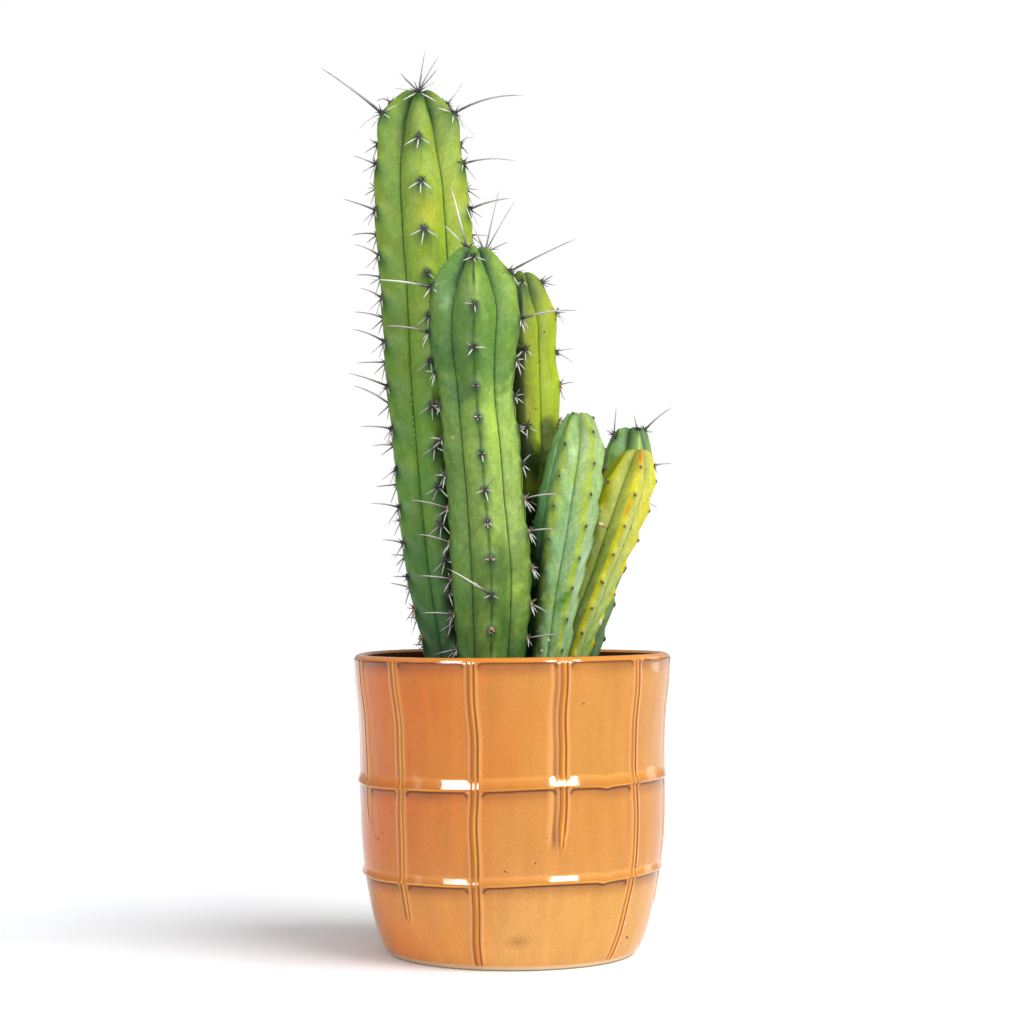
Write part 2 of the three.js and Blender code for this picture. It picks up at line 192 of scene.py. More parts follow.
def softbox(name, azimuth, elevation, distance, width, height, power):
    """A rectangular lamp that only shows in glossy surfaces."""
    light = bpy.data.lights.new(name, "AREA")
    light.shape = "RECTANGLE"
    light.size = width
    light.size_y = height
    light.energy = power
    lamp = bpy.data.objects.new(name, light)
    lamp.visible_diffuse = False
    lamp.visible_camera = False
    aim(lamp, azimuth, elevation, distance)


wide_lamp("key_lamp", azimuth=60, elevation=47, spread=46, strength=3.0)
wide_lamp("front_lamp", azimuth=5, elevation=28, spread=50, strength=0.65)
softbox("right_softbox", azimuth=40, elevation=29, distance=1.6, width=0.62, height=0.85, power=56)
softbox("left_softbox", azimuth=-43, elevation=29, distance=1.6, width=0.62, height=0.85, power=50)
softbox("left_strip", azimuth=-75, elevation=8, distance=1.6, width=0.16, height=1.4, power=1.6)
softbox("right_strip", azimuth=126, elevation=8, distance=1.6, width=0.36, height=1.4, power=3.2)
print("studio ready: two wide lamps, two softboxes and two dim strips")

# %% [markdown]
# ## The stems' shape
#
# A blue myrtle cactus grows as a column with five or six ribs. Along each rib sit the areoles,
# the felted pads that carry the spines, and the rib swells out at each of them. So a stem can be
# drawn as one formula: a radius that depends on the height and on the angle. Sculpting would be
# slower, and it could never be repeated exactly. The numbers are those of the CAD solids.

# %% Numbers that all stems share
# Lengths in mm. PEAKEDNESS: 0 for ribs as round as a cosine, 1 for flat flanks. SWELL: how much a rib
# swells at its areoles, as a share of its radius. SWELL_SKEW: above 1, the notch lies nearer to the
# next areole. EXTRA_ROW: row number of the first areole that is out of step with its rib.
ROOT_END = 92
ROOT_ROUNDING = 7
SOIL_TOP = 117.5
PEAKEDNESS = 0.35
SWELL = 0.07
SWELL_SKEW = 1.45
EXTRA_ROW = 20
print("soil at", SOIL_TOP, "mm, stems planted down to", ROOT_END, "mm")

# %% The six stems' numbers
# Shape. rows: height, axis x, axis y and radius over the ribs, from the planted end to the tip. front:
# angle of the first rib. valley: radius over the grooves, as a share. crown: height of the rounded
# tip. taper: how much it narrows before it closes, and how late. cleft: how far down from the tip the
# grooves are deeper, by crown_groove. tilt: how far the back of the crown stands above the front.
# flat_ribs: ribs that stand out less, and the share that is left. swell: where it isn't SWELL.
# Areoles. ladder: their heights on the first rib. phases: how many spacings lower each rib's areoles
# lie. raised: how much higher single ones lie. extra: those out of step, as (rib, height).
# Spines. centrals: lengths of each rib's central spines, from the tip down. lifts: their angle above
# level. radials: lengths of the low and the other radial spines. felt: half width of a felt pad.
# tan_below: height below which pads are tan. brown: how tan they are anyway. rib_size: sizes of one
# rib's clusters, from the tip down. bare_from: row from which areoles have no spines.
STEMS = {
    "tall_stem": {
        "ribs": 6, "front": 2, "valley": 0.81, "crown": 19.4, "taper": (0.72, 1.5), "cleft": 46, "crown_groove": 0.3,
        "tilt": 3.2,
        "rows": [
            (92, -26, 8, 12), (117, -25.6, 8, 14), (133, -25.7, 8, 15.2), (160, -28.8, 8.6, 18.6),
            (189, -31.7, 9.4, 20), (224, -34.8, 11, 20.3), (243, -36.1, 12.2, 21.2),
            (263, -36.8, 13.6, 22.5), (291, -38, 15, 23), (334, -40.8, 16, 23.5),
            (355, -42.1, 16.4, 21.6), (377, -42.7, 16.8, 19.9), (389, -42.6, 17, 18.6),
        ],
        "ladder": [381, 361.7, 341.6, 320, 300.5, 281.4, 261, 241.4, 222.8, 205, 188.7, 172.8,
                   158.7, 145, 133],
        "phases": [0, 0.5, -0.14, 0.6, -0.14, 0.53],
        "raised": {(0, 0): 3.6, (1, 0): 3.7, (5, 0): 3.9, (2, 0): -4, (4, 0): -4},
        "centrals": [
            [0, 4, 3, 5, 3, 4, 3, 5, 3, 4, 3, 4, 3, 3],
            [0, 0, 21, 14, 16, 12, 15, 11, 14, 10, 12, 9, 8, 6],
            [0, 9, 7, 11, 12, 9, 14, 10, 12, 8, 10, 9, 8, 6],
            [14, 16, 14, 12, 15, 13, 11, 14, 12, 10, 9, 10, 8, 6],
            [0, 4, 5, 14.5, 14, 17, 16, 22, 12, 12, 5, 8, 11, 6],
            [0, 12, 17, 13.5, 12, 17, 20.5, 16.5, 3, 15, 11, 8, 3, 2],
        ],
        "lifts": {(1, 2): 9, (5, 1): 14, (5, 2): 12, (5, 3): 17, (5, 4): 18, (5, 5): 16, (5, 6): 14,
                  (5, 7): 1, (4, 7): 26},
        "radials": (8.6, 3.6), "felt": 1.35, "tan_below": 165,
    },
    "middle_stem": {
        "ribs": 5, "front": 0, "valley": 0.8, "crown": 17, "taper": (0.66, 1.15), "cleft": 34, "crown_groove": 0.28,
        "swell": 0.045,
        "rows": [
            (92, -9, -20, 11.5), (117, -9, -20, 14.2), (133, -8.9, -20, 15.4), (155, -8.7, -20.5, 17.4),
            (173, -9.2, -20.9, 18), (199, -11.4, -21.5, 17.1), (221, -13.2, -22, 17.3),
            (247, -15.6, -22.6, 16.9), (266, -16.5, -23, 19.6), (282, -16.1, -23.3, 20.4),
            (295, -16.5, -23.6, 18.6), (310.7, -16.6, -24, 17.2),
        ],
        "ladder": [303.3, 281.7, 263.2, 247, 233.6, 218, 202.3, 189, 173.2, 157.4, 142.5],
        "phases": [0, 0.25, -0.2, -0.28, 0.57],
        "centrals": [
            [0, 3, 3, 2, 2, 2, 6, 2, 2, 19, 2],
            [0, 26, 4, 5, 4, 6.5, 19, 13, 3, 9.5, 17],
            [0, 12, 9, 11, 8, 12, 9, 7, 8, 6, 5],
            [0, 3, 8, 7, 9, 6, 8, 7, 5, 6, 4],
            [0, 22, 5, 4, 6, 5, 19, 16, 16, 15.5, 11],
        ],
        "lifts": {(1, 1): 6, (1, 5): 45, (1, 6): 5, (1, 7): 4, (1, 9): -27, (1, 10): 7, (4, 1): 5,
                  (4, 6): 11, (4, 7): 13, (4, 8): 5, (4, 9): 2, (4, 10): -13, (0, 6): 30, (0, 9): 20},
        "radials": (7.0, 3.2), "felt": 1.15, "tan_below": 208,
        "rib_size": {0: [0.85, 0.85, 0.85, 0.5, 0.4, 0.75, 0.7, 0.5, 0.45, 0.4, 0.4]},
    },
    "back_stem": {
        "ribs": 5, "front": 10, "valley": 0.74, "crown": 22, "taper": (0.5, 1.2), "cleft": 30, "crown_groove": 0.2,
        "rows": [
            (92, -4, 28, 9), (117, -4, 28, 12), (140, -2, 27.6, 13.5), (173, 2, 27, 16.4),
            (200, 4, 26.6, 18), (234, 3.4, 26.2, 18.2), (269, 2.4, 26, 18.2), (292, 2.3, 26, 17.4),
            (306.5, 2.7, 26, 16),
        ],
        "ladder": [299.7, 268, 233, 200, 168, 138],
        "phases": [0, 0.42, 0.8, 0.2, 0.6], "extra": [(1, 300.5), (1, 268.5), (1, 236.5)],
        "centrals": [[0, 7, 7, 4, 3], [5, 7, 7, 5, 4], [12, 8, 7, 6], [12, 9, 8, 7], [5, 8, 6, 5]],
        "lifts": {(1, 0): 3, (1, 1): 8, (0, 1): 8, (0, 2): 0},
        "radials": (6.8, 4.0), "felt": 1.2, "tan_below": 0,
    },
    "front_stem": {
        "ribs": 6, "front": -20, "valley": 0.8, "crown": 14, "taper": (0.5, 1.2), "cleft": 20, "crown_groove": 0.12,
        "flat_ribs": {5: 0.35},
        "rows": [
            (92, 12.6, -5, 8.5), (117, 12.6, -5, 10.6), (132, 14.2, -5, 11.1), (144, 15.8, -5.3, 11.5),
            (160, 17.8, -5.8, 12.5), (180, 21.2, -6.3, 14.3), (191, 22.9, -6.7, 14.8),
            (207, 25.5, -7.1, 14.4), (222, 27.8, -7.5, 12.8), (238.8, 28.9, -8, 11),
        ],
        "ladder": [237, 223.4, 209.4, 196.2, 181.8, 168.3, 155.2, 141.3, 128],
        "phases": [0, 0.6, 0.1, 0.5, 0, 0.46],
        "centrals": [], "lifts": {}, "radials": (0, 1.6), "felt": 0.66, "tan_below": 0, "brown": 0.12,
    },
    "leaning_stem": {
        "ribs": 6, "front": 22, "valley": 0.8, "crown": 16, "taper": (0.45, 1.2), "cleft": 20, "crown_groove": 0.1,
        "rows": [
            (92, 20.4, 17, 8.5), (112, 20.4, 17, 10.6), (134, 24.6, 15.9, 11.5), (157, 33.2, 14.9, 12),
            (169, 37.9, 14.4, 12.3), (181, 42.1, 13.9, 13.6), (189, 44.9, 13.5, 14),
            (200, 48.8, 13, 13.6), (210, 52, 12.6, 12.6), (223.7, 56.6, 12, 11),
        ],
        "ladder": [214.5, 202, 188.1, 175.4, 163.2, 151.6, 140.5, 129.5],
        "phases": [0, 0.48, 0, 0.5, 0.02, 0.52],
        "centrals": [], "lifts": {}, "radials": (0, 1.1), "felt": 0.75, "tan_below": 0, "brown": 0.3,
    },
    "rear_stem": {
        "ribs": 5, "front": 26, "valley": 0.76, "crown": 14, "taper": (0.45, 1.2), "cleft": 20, "crown_groove": 0.15,
        "rows": [
            (92, 28, 38.6, 8), (117, 28, 38.6, 9.6), (132, 30.6, 38.2, 10.2), (148, 34.2, 37.8, 11.1),
            (164, 37.9, 37.6, 11.8), (190, 45.3, 37.4, 12.4), (217, 52.4, 37.2, 12.5),
            (235.5, 55, 37, 11.5),
        ],
        "ladder": [233.5, 217, 201, 185, 169, 153, 137],
        "phases": [0, 0, 0.4, 0.1, 0.2],
        "centrals": [[0, 6, 5], [17, 9, 7], [10, 8, 8], [0, 9, 7], [0, 7, 6]],
        "lifts": {(1, 0): 40, (1, 1): 8, (1, 2): -26},
        "radials": (4.5, 2.8), "felt": 1.1, "tan_below": 0, "bare_from": 3,
    },
}
print("stems", list(STEMS))


# %% Curves through measured points
def along(rows, at):
    """Smooth curve through rows sorted by their first column: the other columns at one place or many."""
    rows = np.array(rows, float)
    at = np.asarray(at, float)
    place, values = rows[:, 0], rows[:, 1:]
    index = np.arange(len(rows))
    before, after = np.maximum(index - 1, 0), np.minimum(index + 1, len(rows) - 1)
    slope = (values[after] - values[before]) / (place[after] - place[before])[:, None]
    i = np.clip(np.searchsorted(place, at) - 1, 0, len(rows) - 2)
    span = (place[i + 1] - place[i])[..., None]
    t = np.clip((at - place[i])[..., None] / span, 0, 1)
    eased = t * t * (3 - 2 * t)
    bend = t * (1 - t) * ((1 - t) * slope[i] - t * slope[i + 1]) * span
    return values[i] + (values[i + 1] - values[i]) * eased + bend


def smooth(low, high, value):
    """0 at low, 1 at high, and an S-curve between. low may be the larger one."""
    t = np.clip((value - low) / (high - low), 0, 1)
    return t * t * (3 - 2 * t)


def ladder_place(stem, height):
    """How many areole spacings a height lies below the first areole."""
    ladder = np.array(stem["ladder"], float)
    i = np.clip(np.searchsorted(-ladder, -np.asarray(height, float), side="right") - 1, 0, len(ladder) - 2)
    return i + (ladder[i] - height) / (ladder[i] - ladder[i + 1])


def ladder_height(stem, place):
    """The height that lies a number of areole spacings below the first areole."""
    ladder = np.array(stem["ladder"], float)
    i = int(np.clip(math.floor(place), 0, len(ladder) - 2))
    return ladder[i] + (ladder[i + 1] - ladder[i]) * (place - i)


def areoles(stem):
    """Every areole as (rib, row, height), from the tip down."""
    found = []
    for rib, phase in enumerate(stem["phases"]):
        row = 0
        while ladder_height(stem, row + phase) > SOIL_TOP + 3:
            raised = stem.get("raised", {}).get((rib, row), 0)
            found.append((rib, row, ladder_height(stem, row + phase) + raised))
            row += 1
    return found + [(rib, EXTRA_ROW + i, height) for i, (rib, height) in enumerate(stem.get("extra", []))]


print("areoles on each stem:", {name: len(areoles(stem)) for name, stem in STEMS.items()})

# %% The stems' formula
# A crease runs down each groove, this deep and this wide to either side, in mm.
CREASE_DEPTH = 0.38
CREASE_HALF = 0.5
# Tissue streams down from a crest to the grooves beside it, this many mm over half a rib.
FAN_DROP = 10.0


def crest_radius(stem, height):
    """Radius over the ribs, closed at the crown and at the planted end."""
    radius = along(stem["rows"], height)[..., 2]
    tip = stem["rows"][-1][0]
    up = np.clip((height - (tip - stem["crown"])) / stem["crown"], 0, 1)
    down = np.clip((ROOT_END + ROOT_ROUNDING - height) / ROOT_ROUNDING, 0, 1)
    share, bend = stem["taper"]
    return radius * (1 - share * up ** bend) * np.sqrt(1 - up ** 10) * np.sqrt(1 - down ** 2)


def swell(place):
    """1 at an areole, 0 in the notch just above it. place counts areole spacings down the rib."""
    below = place - np.floor(place)
    return np.where(place < 0, 1.0, 0.5 + 0.5 * np.cos(2 * math.pi * below ** SWELL_SKEW))


def rib_of(stem, angle):
    """The nearest rib's index, and how far off its crest an angle lies: -1 and 1 are the grooves."""
    turn = (angle - math.radians(stem["front"])) / (2 * math.pi / stem["ribs"])
    rib = np.round(turn)
    return rib.astype(int) % stem["ribs"], 2 * (turn - rib)


def skin_radius(stem, angle, height):
    """Distance from the axis to the skin. Near the tip the grooves are deeper and the ribs slimmer."""
    rib, off = rib_of(stem, angle)
    tip = stem["rows"][-1][0]
    near_tip = smooth(tip - stem["cleft"], tip - 4, height)
    ridge = np.sqrt(off ** 2 + 0.05 ** 2) - 0.05
    lobe = ((1 - PEAKEDNESS) * np.cos(off * math.pi / 2) + PEAKEDNESS * (1 - ridge)) ** (1 + 0.7 * near_tip)
    lobe = lobe * np.array([stem.get("flat_ribs", {}).get(i, 1) for i in range(stem["ribs"])])[rib]
    valley = stem["valley"] - stem["crown_groove"] * near_tip
    place = ladder_place(stem, height + FAN_DROP * np.abs(off)) - np.array(stem["phases"])[rib]
    over_rib = crest_radius(stem, height)
    to_groove = (1 - np.abs(off)) * over_rib * math.pi / stem["ribs"]
    crease = CREASE_DEPTH * np.exp(-(to_groove / CREASE_HALF) ** 2) * smooth(0, 8, over_rib)
    waves = stem.get("swell", SWELL) * (swell(place) - 0.5) * lobe
    return over_rib * (valley + (1 - valley) * lobe + waves) - crease


def crown_lift(stem, angle, height):
    """How much higher the skin stands near a tilted tip."""
    tip = stem["rows"][-1][0]
    at_back = smooth(0, 0.5, -np.cos(angle))
    return stem.get("tilt", 0) * at_back * smooth(tip - 30, tip - 9, height) * smooth(tip, tip - 9, height)


def skin_point(stem, angle, height):
    """A point of the skin and the outward direction there."""
    def point(a, h):
        x, y, _ = along(stem["rows"], h)
        r = float(skin_radius(stem, np.array(a), np.array(h)))
        return np.array([x + r * math.sin(a), y - r * math.cos(a), h + float(crown_lift(stem, a, h))])

    step = min(1.5, (stem["rows"][-1][0] - height) / 2)
    around = point(angle + 0.04, height) - point(angle - 0.04, height)
    upward = point(angle, height + step) - point(angle, height - step)
    outward = np.cross(around, upward)
    return point(angle, height), outward / np.linalg.norm(outward)


test_angles = np.radians([0, 15, 30])
print("tall stem's radius at 250 mm over a rib, its flank and a groove:",
      np.round(skin_radius(STEMS["tall_stem"], test_angles, np.array([250.0] * 3)), 1))

# %% [markdown]
# ## Meshes from grids
#
# Both the stems and the pot are rings of points, one above the other, joined by four-sided faces.
# One function closes such a grid at both ends. Measurements that a material needs later, such as
# how deep a point lies in a groove, are stored on the points as named attributes.

# %% Ring grids and mesh pieces
def mesh_piece(name, points, faces, materials, attributes=None, face_slots=None):
    """A smooth-shaded mesh object from points in millimetres. An attribute is one number or three."""
    mesh = bpy.data.meshes.new(name)
    mesh.from_pydata((np.asarray(points) * MM).tolist(), [], faces)
    for label, values in (attributes or {}).items():
        values = np.asarray(values, np.float32)
        if values.ndim == 1:
            mesh.attributes.new(label, "FLOAT", "POINT").data.foreach_set("value", values)
        else:
            mesh.attributes.new(label, "FLOAT_VECTOR", "POINT").data.foreach_set("vector", values.ravel())
    for material in materials:
        mesh.materials.append(material)
    if face_slots is not None:
        mesh.polygons.foreach_set("material_index", np.asarray(face_slots, np.int32))
    mesh.polygons.foreach_set("use_smooth", [True] * len(mesh.polygons))
    mesh.update()
    piece = bpy.data.objects.new(name, mesh)
    scene.collection.objects.link(piece)
    return piece


def ring_faces(rings, columns):
    """Faces of a stack of closed rings, from the bottom up, with a fan over each end."""
    ring, column = np.meshgrid(np.arange(rings - 1), np.arange(columns), indexing="ij")
    beside = (column + 1) % columns
    quads = np.stack([ring * columns + column, ring * columns + beside,
                      (ring + 1) * columns + beside, (ring + 1) * columns + column], -1)
    faces = quads.reshape(-1, 4).tolist()
    bottom, top = rings * columns, rings * columns + 1
    last = (rings - 1) * columns
    for i in range(columns):
        j = (i + 1) % columns
        faces.append((bottom, j, i))
        faces.append((top, last + i, last + j))
    return faces


def grid_values(values):
    """A grid of values as one list, with one more for each end point."""
    flat = values.reshape(-1, *values.shape[2:])
    return np.concatenate([flat, flat[:1], flat[-1:]])


def triangles(piece):
    return sum(len(polygon.vertices) - 2 for polygon in piece.data.polygons)


print("grid of 3 rings of 4 points has", len(ring_faces(3, 4)), "faces")

# %% [markdown]
# ## What the skin shows
#
# Cactus skin isn't one green. There is a dark patch under each areole, partly its own colour and partly
# painted shade, a yellow one above it, partly painted highlight, a dark line in the crease between two
# ribs, which is painted shade, and streaks of tissue that fall from the crest to the groove like a row of
# arrow heads. Skin close to a neighbouring stem is darkened as painted shade. All of these follow the
# ribs, so they are worked out here from the same formula and stored as masks from 0 to 1. Painting
# them by hand would fit only one side of the plant.

# %% What each stem shows
# dark: width and length in mm of the patch under an areole, which is partly painted shade, and length
# of a thin line below that. glow: height of the yellow zone as a share of the stem, its reach and its
# least strength; that zone is partly painted highlight. band: width of the yellow band beside a crest,
# as a share of half a rib. banded, pale and shaded: ribs that have that band on their left, a pale face
# on their right or a face darkened as painted shade beside the band, and how strong, where it isn't all
# of them. gap_shade: how dark the painted shade on the skin close to a neighbour is, and the heights
# where that starts and is full. furrow: depth of the furrows in mm.
SHOWS = {
    "tall_stem": {"dark": (4.8, 9.5, 0), "glow": (0.74, 0.16, 0.1), "band": 0.5, "gap_shade": (1.0, 258, 215),
                  "furrow": 0.14},
    "middle_stem": {"dark": (2.6, 8, 20), "glow": (0.55, 0.2, 0.2), "band": 0.5, "gap_shade": (0.45, 240, 200),
                    "furrow": 0.12},
    "back_stem": {"dark": (2.0, 8, 10), "glow": (0.7, 0.3, 0.4), "band": 0.05, "gap_shade": (1.0, 300, 285),
                  "furrow": 0.05, "shaded": {0: 1.0}},
    "front_stem": {"dark": (1.4, 5, 0), "glow": (0.45, 0.3, 0.2), "band": 0.34, "gap_shade": (1.0, 225, 200),
                   "furrow": 0.28, "banded": {0: 0.75, 1: 1.0}, "pale": {1: 0.6}},
    "leaning_stem": {"dark": (1.2, 4, 0), "glow": (0.8, 0.5, 0.3), "band": 0.36, "gap_shade": (0.7, 200, 170),
                     "furrow": 0.12, "shaded": {0: 1.0, 1: 0.2}},
    "rear_stem": {"dark": (1.6, 6, 0), "glow": (0.8, 0.3, 0.2), "band": 0.12, "gap_shade": (0.8, 215, 190),
                  "furrow": 0.06},
}
print("furrows in mm:", {name: shows["furrow"] for name, shows in SHOWS.items()})

# %% Patches of colour
# Yellow flush, partly painted highlight, green moss tones, partly painted shade, pale bloom and amber,
# each patch as angle, height, half width and half height in mm, and strength.
PATCHES = {
    "tall_stem": {
        "flush_and_highlight": [(11, 328, 6, 9, 0.9), (42, 336, 5, 15, 0.6), (30, 352, 4, 10, 0.3)],
        "moss_and_shade": [(-30, 180, 10, 20, 0.5), (60, 262, 5, 10, 0.25)],
    },
    "middle_stem": {
        "moss_and_shade": [(0, 262, 2.2, 20, 0.55), (1, 224, 1.7, 26, 0.6), (0, 190, 1.3, 14, 0.4), (0, 134, 6, 11, 0.2),
                 (22, 143, 4, 7, 0.6), (-30, 150, 5, 9, 0.15), (-62, 210, 6, 9, 0.5), (-64, 265, 6, 12, 0.5),
                 (13, 173, 4, 8, 0.85), (-8, 246, 8, 8, 0.4), (-30, 262, 8, 14, 0.4)],
        "flush_and_highlight": [(62, 292, 7, 14, 0.35), (60, 262, 6, 14, 0.15), (45, 150, 5, 12, 0.15), (-45, 252, 5, 3, 0.35),
                  (30, 247, 6, 3, 0.5), (1, 293, 2.2, 9, 0.75), (20, 238, 4, 10, 0.5), (42, 160, 5, 6, 0.6),
                  (2, 183, 4, 7, 0.45), (-20, 216, 4, 8, 0.35), (-12, 138, 6, 14, 0.5), (24, 232, 6, 14, 0.9)],
        "bloom": [(-45, 284, 1.6, 3.4, 1.0), (-38, 289, 1.2, 1.6, 0.7)],
    },
    "back_stem": {
        "flush_and_highlight": [(17, 248, 4, 16, 0.6), (85, 285, 4, 14, 0.8)],
        "moss_and_shade": [(-10, 250, 9, 50, 1.0), (30, 190, 12, 22, 0.9), (20, 150, 20, 40, 1.0)],
    },
    "front_stem": {
        "moss_and_shade": [(-12, 155, 2.6, 2.6, 0.5), (27, 155, 2.0, 2.2, 0.8), (32, 157.5, 2.2, 1.6, 0.7),
                 (20, 152.5, 1.6, 3, 0.6), (5, 196, 3.0, 2.5, 0.35)],
        "flush_and_highlight": [(-12, 155, 2.6, 2.8, 0.9), (56, 190, 4, 12, 0.5), (5, 210, 4, 8, 0.4), (-14, 196, 2, 14, 0.6),
                  (58, 208, 4, 12, 0.6), (28, 200, 2.2, 12, 0.7), (40, 165, 1.6, 20, 0.9), (-20, 214, 1.4, 8, 0.5)],
        "bloom": [(66, 168, 6, 26, 0.75)],
    },
    "leaning_stem": {
        "amber": [(19, 220, 1.2, 6, 1.0), (18, 196, 1.0, 3.4, 0.8)],
        "flush_and_highlight": [(68, 195, 4, 24, 0.6), (14, 204, 2.4, 16, 0.6), (-36, 203, 2, 12, 0.8), (46, 206, 2.5, 8, 0.8)],
        "moss_and_shade": [(-24, 182, 1.2, 4, 0.6), (-8, 172, 3, 16, 0.4), (60, 130, 5, 12, 0.6)],
    },
    "rear_stem": {},
}
print("patches:", {name: sum(map(len, patches.values())) for name, patches in PATCHES.items()})

# %% Masks over the skin
# SUN_SIDE: the angle that faces the sun, on the key lamp's side; the sun mask turns the skin towards
# its sun-side tones there and towards its darker shade-side tones away from it, partly painted light
# and shade. AREOLE_REACH: how far up and down an areole's marks may go, in mm. FAR_OFF: distance
# that counts as no areole near.
SUN_SIDE = math.radians(55)
AREOLE_REACH = 24
FAR_OFF = 20.0


def skin_marks(name, angle, z, over_rib):
    """Masks for a grid of angles and heights, whose radius over the ribs is over_rib."""
    stem, shows = STEMS[name], SHOWS[name]
    rib, off = rib_of(stem, angle)
    tip = stem["rows"][-1][0]
    half_rib = over_rib * math.pi / stem["ribs"]
    across, to_groove = off * half_rib, (1 - np.abs(off)) * half_rib
    # fan: height along the falling streaks, in mm. tone: 0 at the soil and 1 at the tip.
    fan = z + FAN_DROP * np.abs(off)
    tone = ((z + fan) / 2 - SOIL_TOP) / (tip - SOIL_TOP)
    near_tip = smooth(tip - stem["cleft"], tip - 8, z)
    marks = {
        "tone": tone,
        "sun": smooth(-0.45, 0.95, np.cos(angle - SUN_SIDE)),
        # crease: painted shade in the groove, wider and darker near the tip.
        "crease": np.maximum(np.exp(-(to_groove / 0.34) ** 2), 0.9 * near_tip * np.exp(-(to_groove / 2.8) ** 2)),
        "flank": smooth(0.1, 0.6, np.abs(off)),
        "band": smooth(-shows["band"], -0.75 * shows["band"], off) * smooth(0.1, 0.02, off),
        "pale_side": smooth(0.04, 0.14, off) * smooth(0.8, 0.5, off),
        "shady": (smooth(-1.2, -0.3, off) * smooth(0.02 - 0.6 * shows["band"], -0.05 - 0.6 * shows["band"], off)
                  * smooth(tip - 5, tip - 16, z)),
        "spot": np.full(z.shape, FAR_OFF),
        **{label: np.zeros(z.shape) for label in ("under", "glow", "flush_and_highlight", "moss_and_shade", "bloom", "amber")},
    }
    for label, key in (("band", "banded"), ("pale_side", "pale"), ("shady", "shaded")):
        if key in shows:
            marks[label] = marks[label] * np.array([shows[key].get(i, 0) for i in range(stem["ribs"])])[rib]
    # Round each areole: a dark patch and a thin line below it, the patch partly painted shade, and a
    # yellow zone above it, partly painted highlight.
    wide, long, line = shows["dark"]
    centre, spread, least = shows["glow"]
    for areole_rib, _, height in areoles(stem):
        near = (rib == areole_rib) & (np.abs(z - height) < AREOLE_REACH)
        x, up = across[near], z[near] - height
        marks["spot"][near] = np.minimum(marks["spot"][near], np.hypot(x, up))
        spread_out = wide * (0.55 - 0.1 * np.clip(up, -8, 0))
        shade = np.exp(-(x / spread_out) ** 2) * smooth(1.5, -1.0, up) * smooth(-long, -1.0, up)
        thin = 0.95 * np.exp(-(x / 0.7) ** 2) * (up < 0) * smooth(-line - 0.1, -0.5 * line, up)
        shade = np.maximum(shade, thin)
        marks["under"][near] = np.maximum(marks["under"][near], shade)
        up_fan = fan[near] - height
        light = np.exp(-(x / 6) ** 2) * smooth(1.0, 5.0, up_fan) * smooth(17.0, 6.0, up_fan)
        marks["glow"][near] = np.maximum(marks["glow"][near], light)
    marks["glow"] *= least + (1 - least) * np.exp(-((tone - centre) / spread) ** 2)
    for label, patches in PATCHES[name].items():
        for patch_angle, height, patch_wide, patch_high, strength in patches:
            turn = (angle - math.radians(patch_angle) + math.pi) % (2 * math.pi) - math.pi
            blot = strength * np.exp(-((turn * over_rib / patch_wide) ** 2 + ((z - height) / patch_high) ** 2))
            marks[label] = np.maximum(marks[label], blot)
    marks["grain"] = np.stack([fan, across * 0.22, rib * 9.0], -1)
    return marks


one_ring = skin_marks("tall_stem", np.radians([[0.0, 15, 30]]), np.array([[320.0] * 3]), np.array([[25.0] * 3]))
print("crease mask on a crest, a flank and in a groove:", np.round(one_ring["crease"][0], 2))

# %% [markdown]
# ## Growing the stems
#
# The formula gives broad, clean ribs. Three things make them look grown: a small knob of tissue
# under each areole, furrows along those same falling streaks, and a slightly uneven skin. At the
# very top the ribs meet in a shallow dimple. Points are set closer together beside the creases, where
# the surface turns sharply, and further apart on the flat flanks.

# %% Grow a stem
# In mm. KNOB_RISE and KNOB_REACH: how far the knob at an areole stands out, and its half width.
# UNEVENNESS: how far the skin waves in and out. DIMPLE: depth at the tip. RING_STEP: between rings.
KNOB_RISE = 0.45
KNOB_REACH = 2.8
UNEVENNESS = 0.3
DIMPLE = 2.6
RING_STEP = 0.8
# Places of the points over half a rib, from the crest at 0 to the groove at 1.
HALF_RIB = np.array([0, 0.06, 0.12, 0.19, 0.27, 0.36, 0.46, 0.56, 0.66, 0.75, 0.83, 0.9, 0.945, 0.98, 1])
SMALL_HALF_RIB = np.delete(HALF_RIB, [1, 3])


def rib_angle(stem, rib):
    return math.radians(stem["front"] + 360 * rib / stem["ribs"])


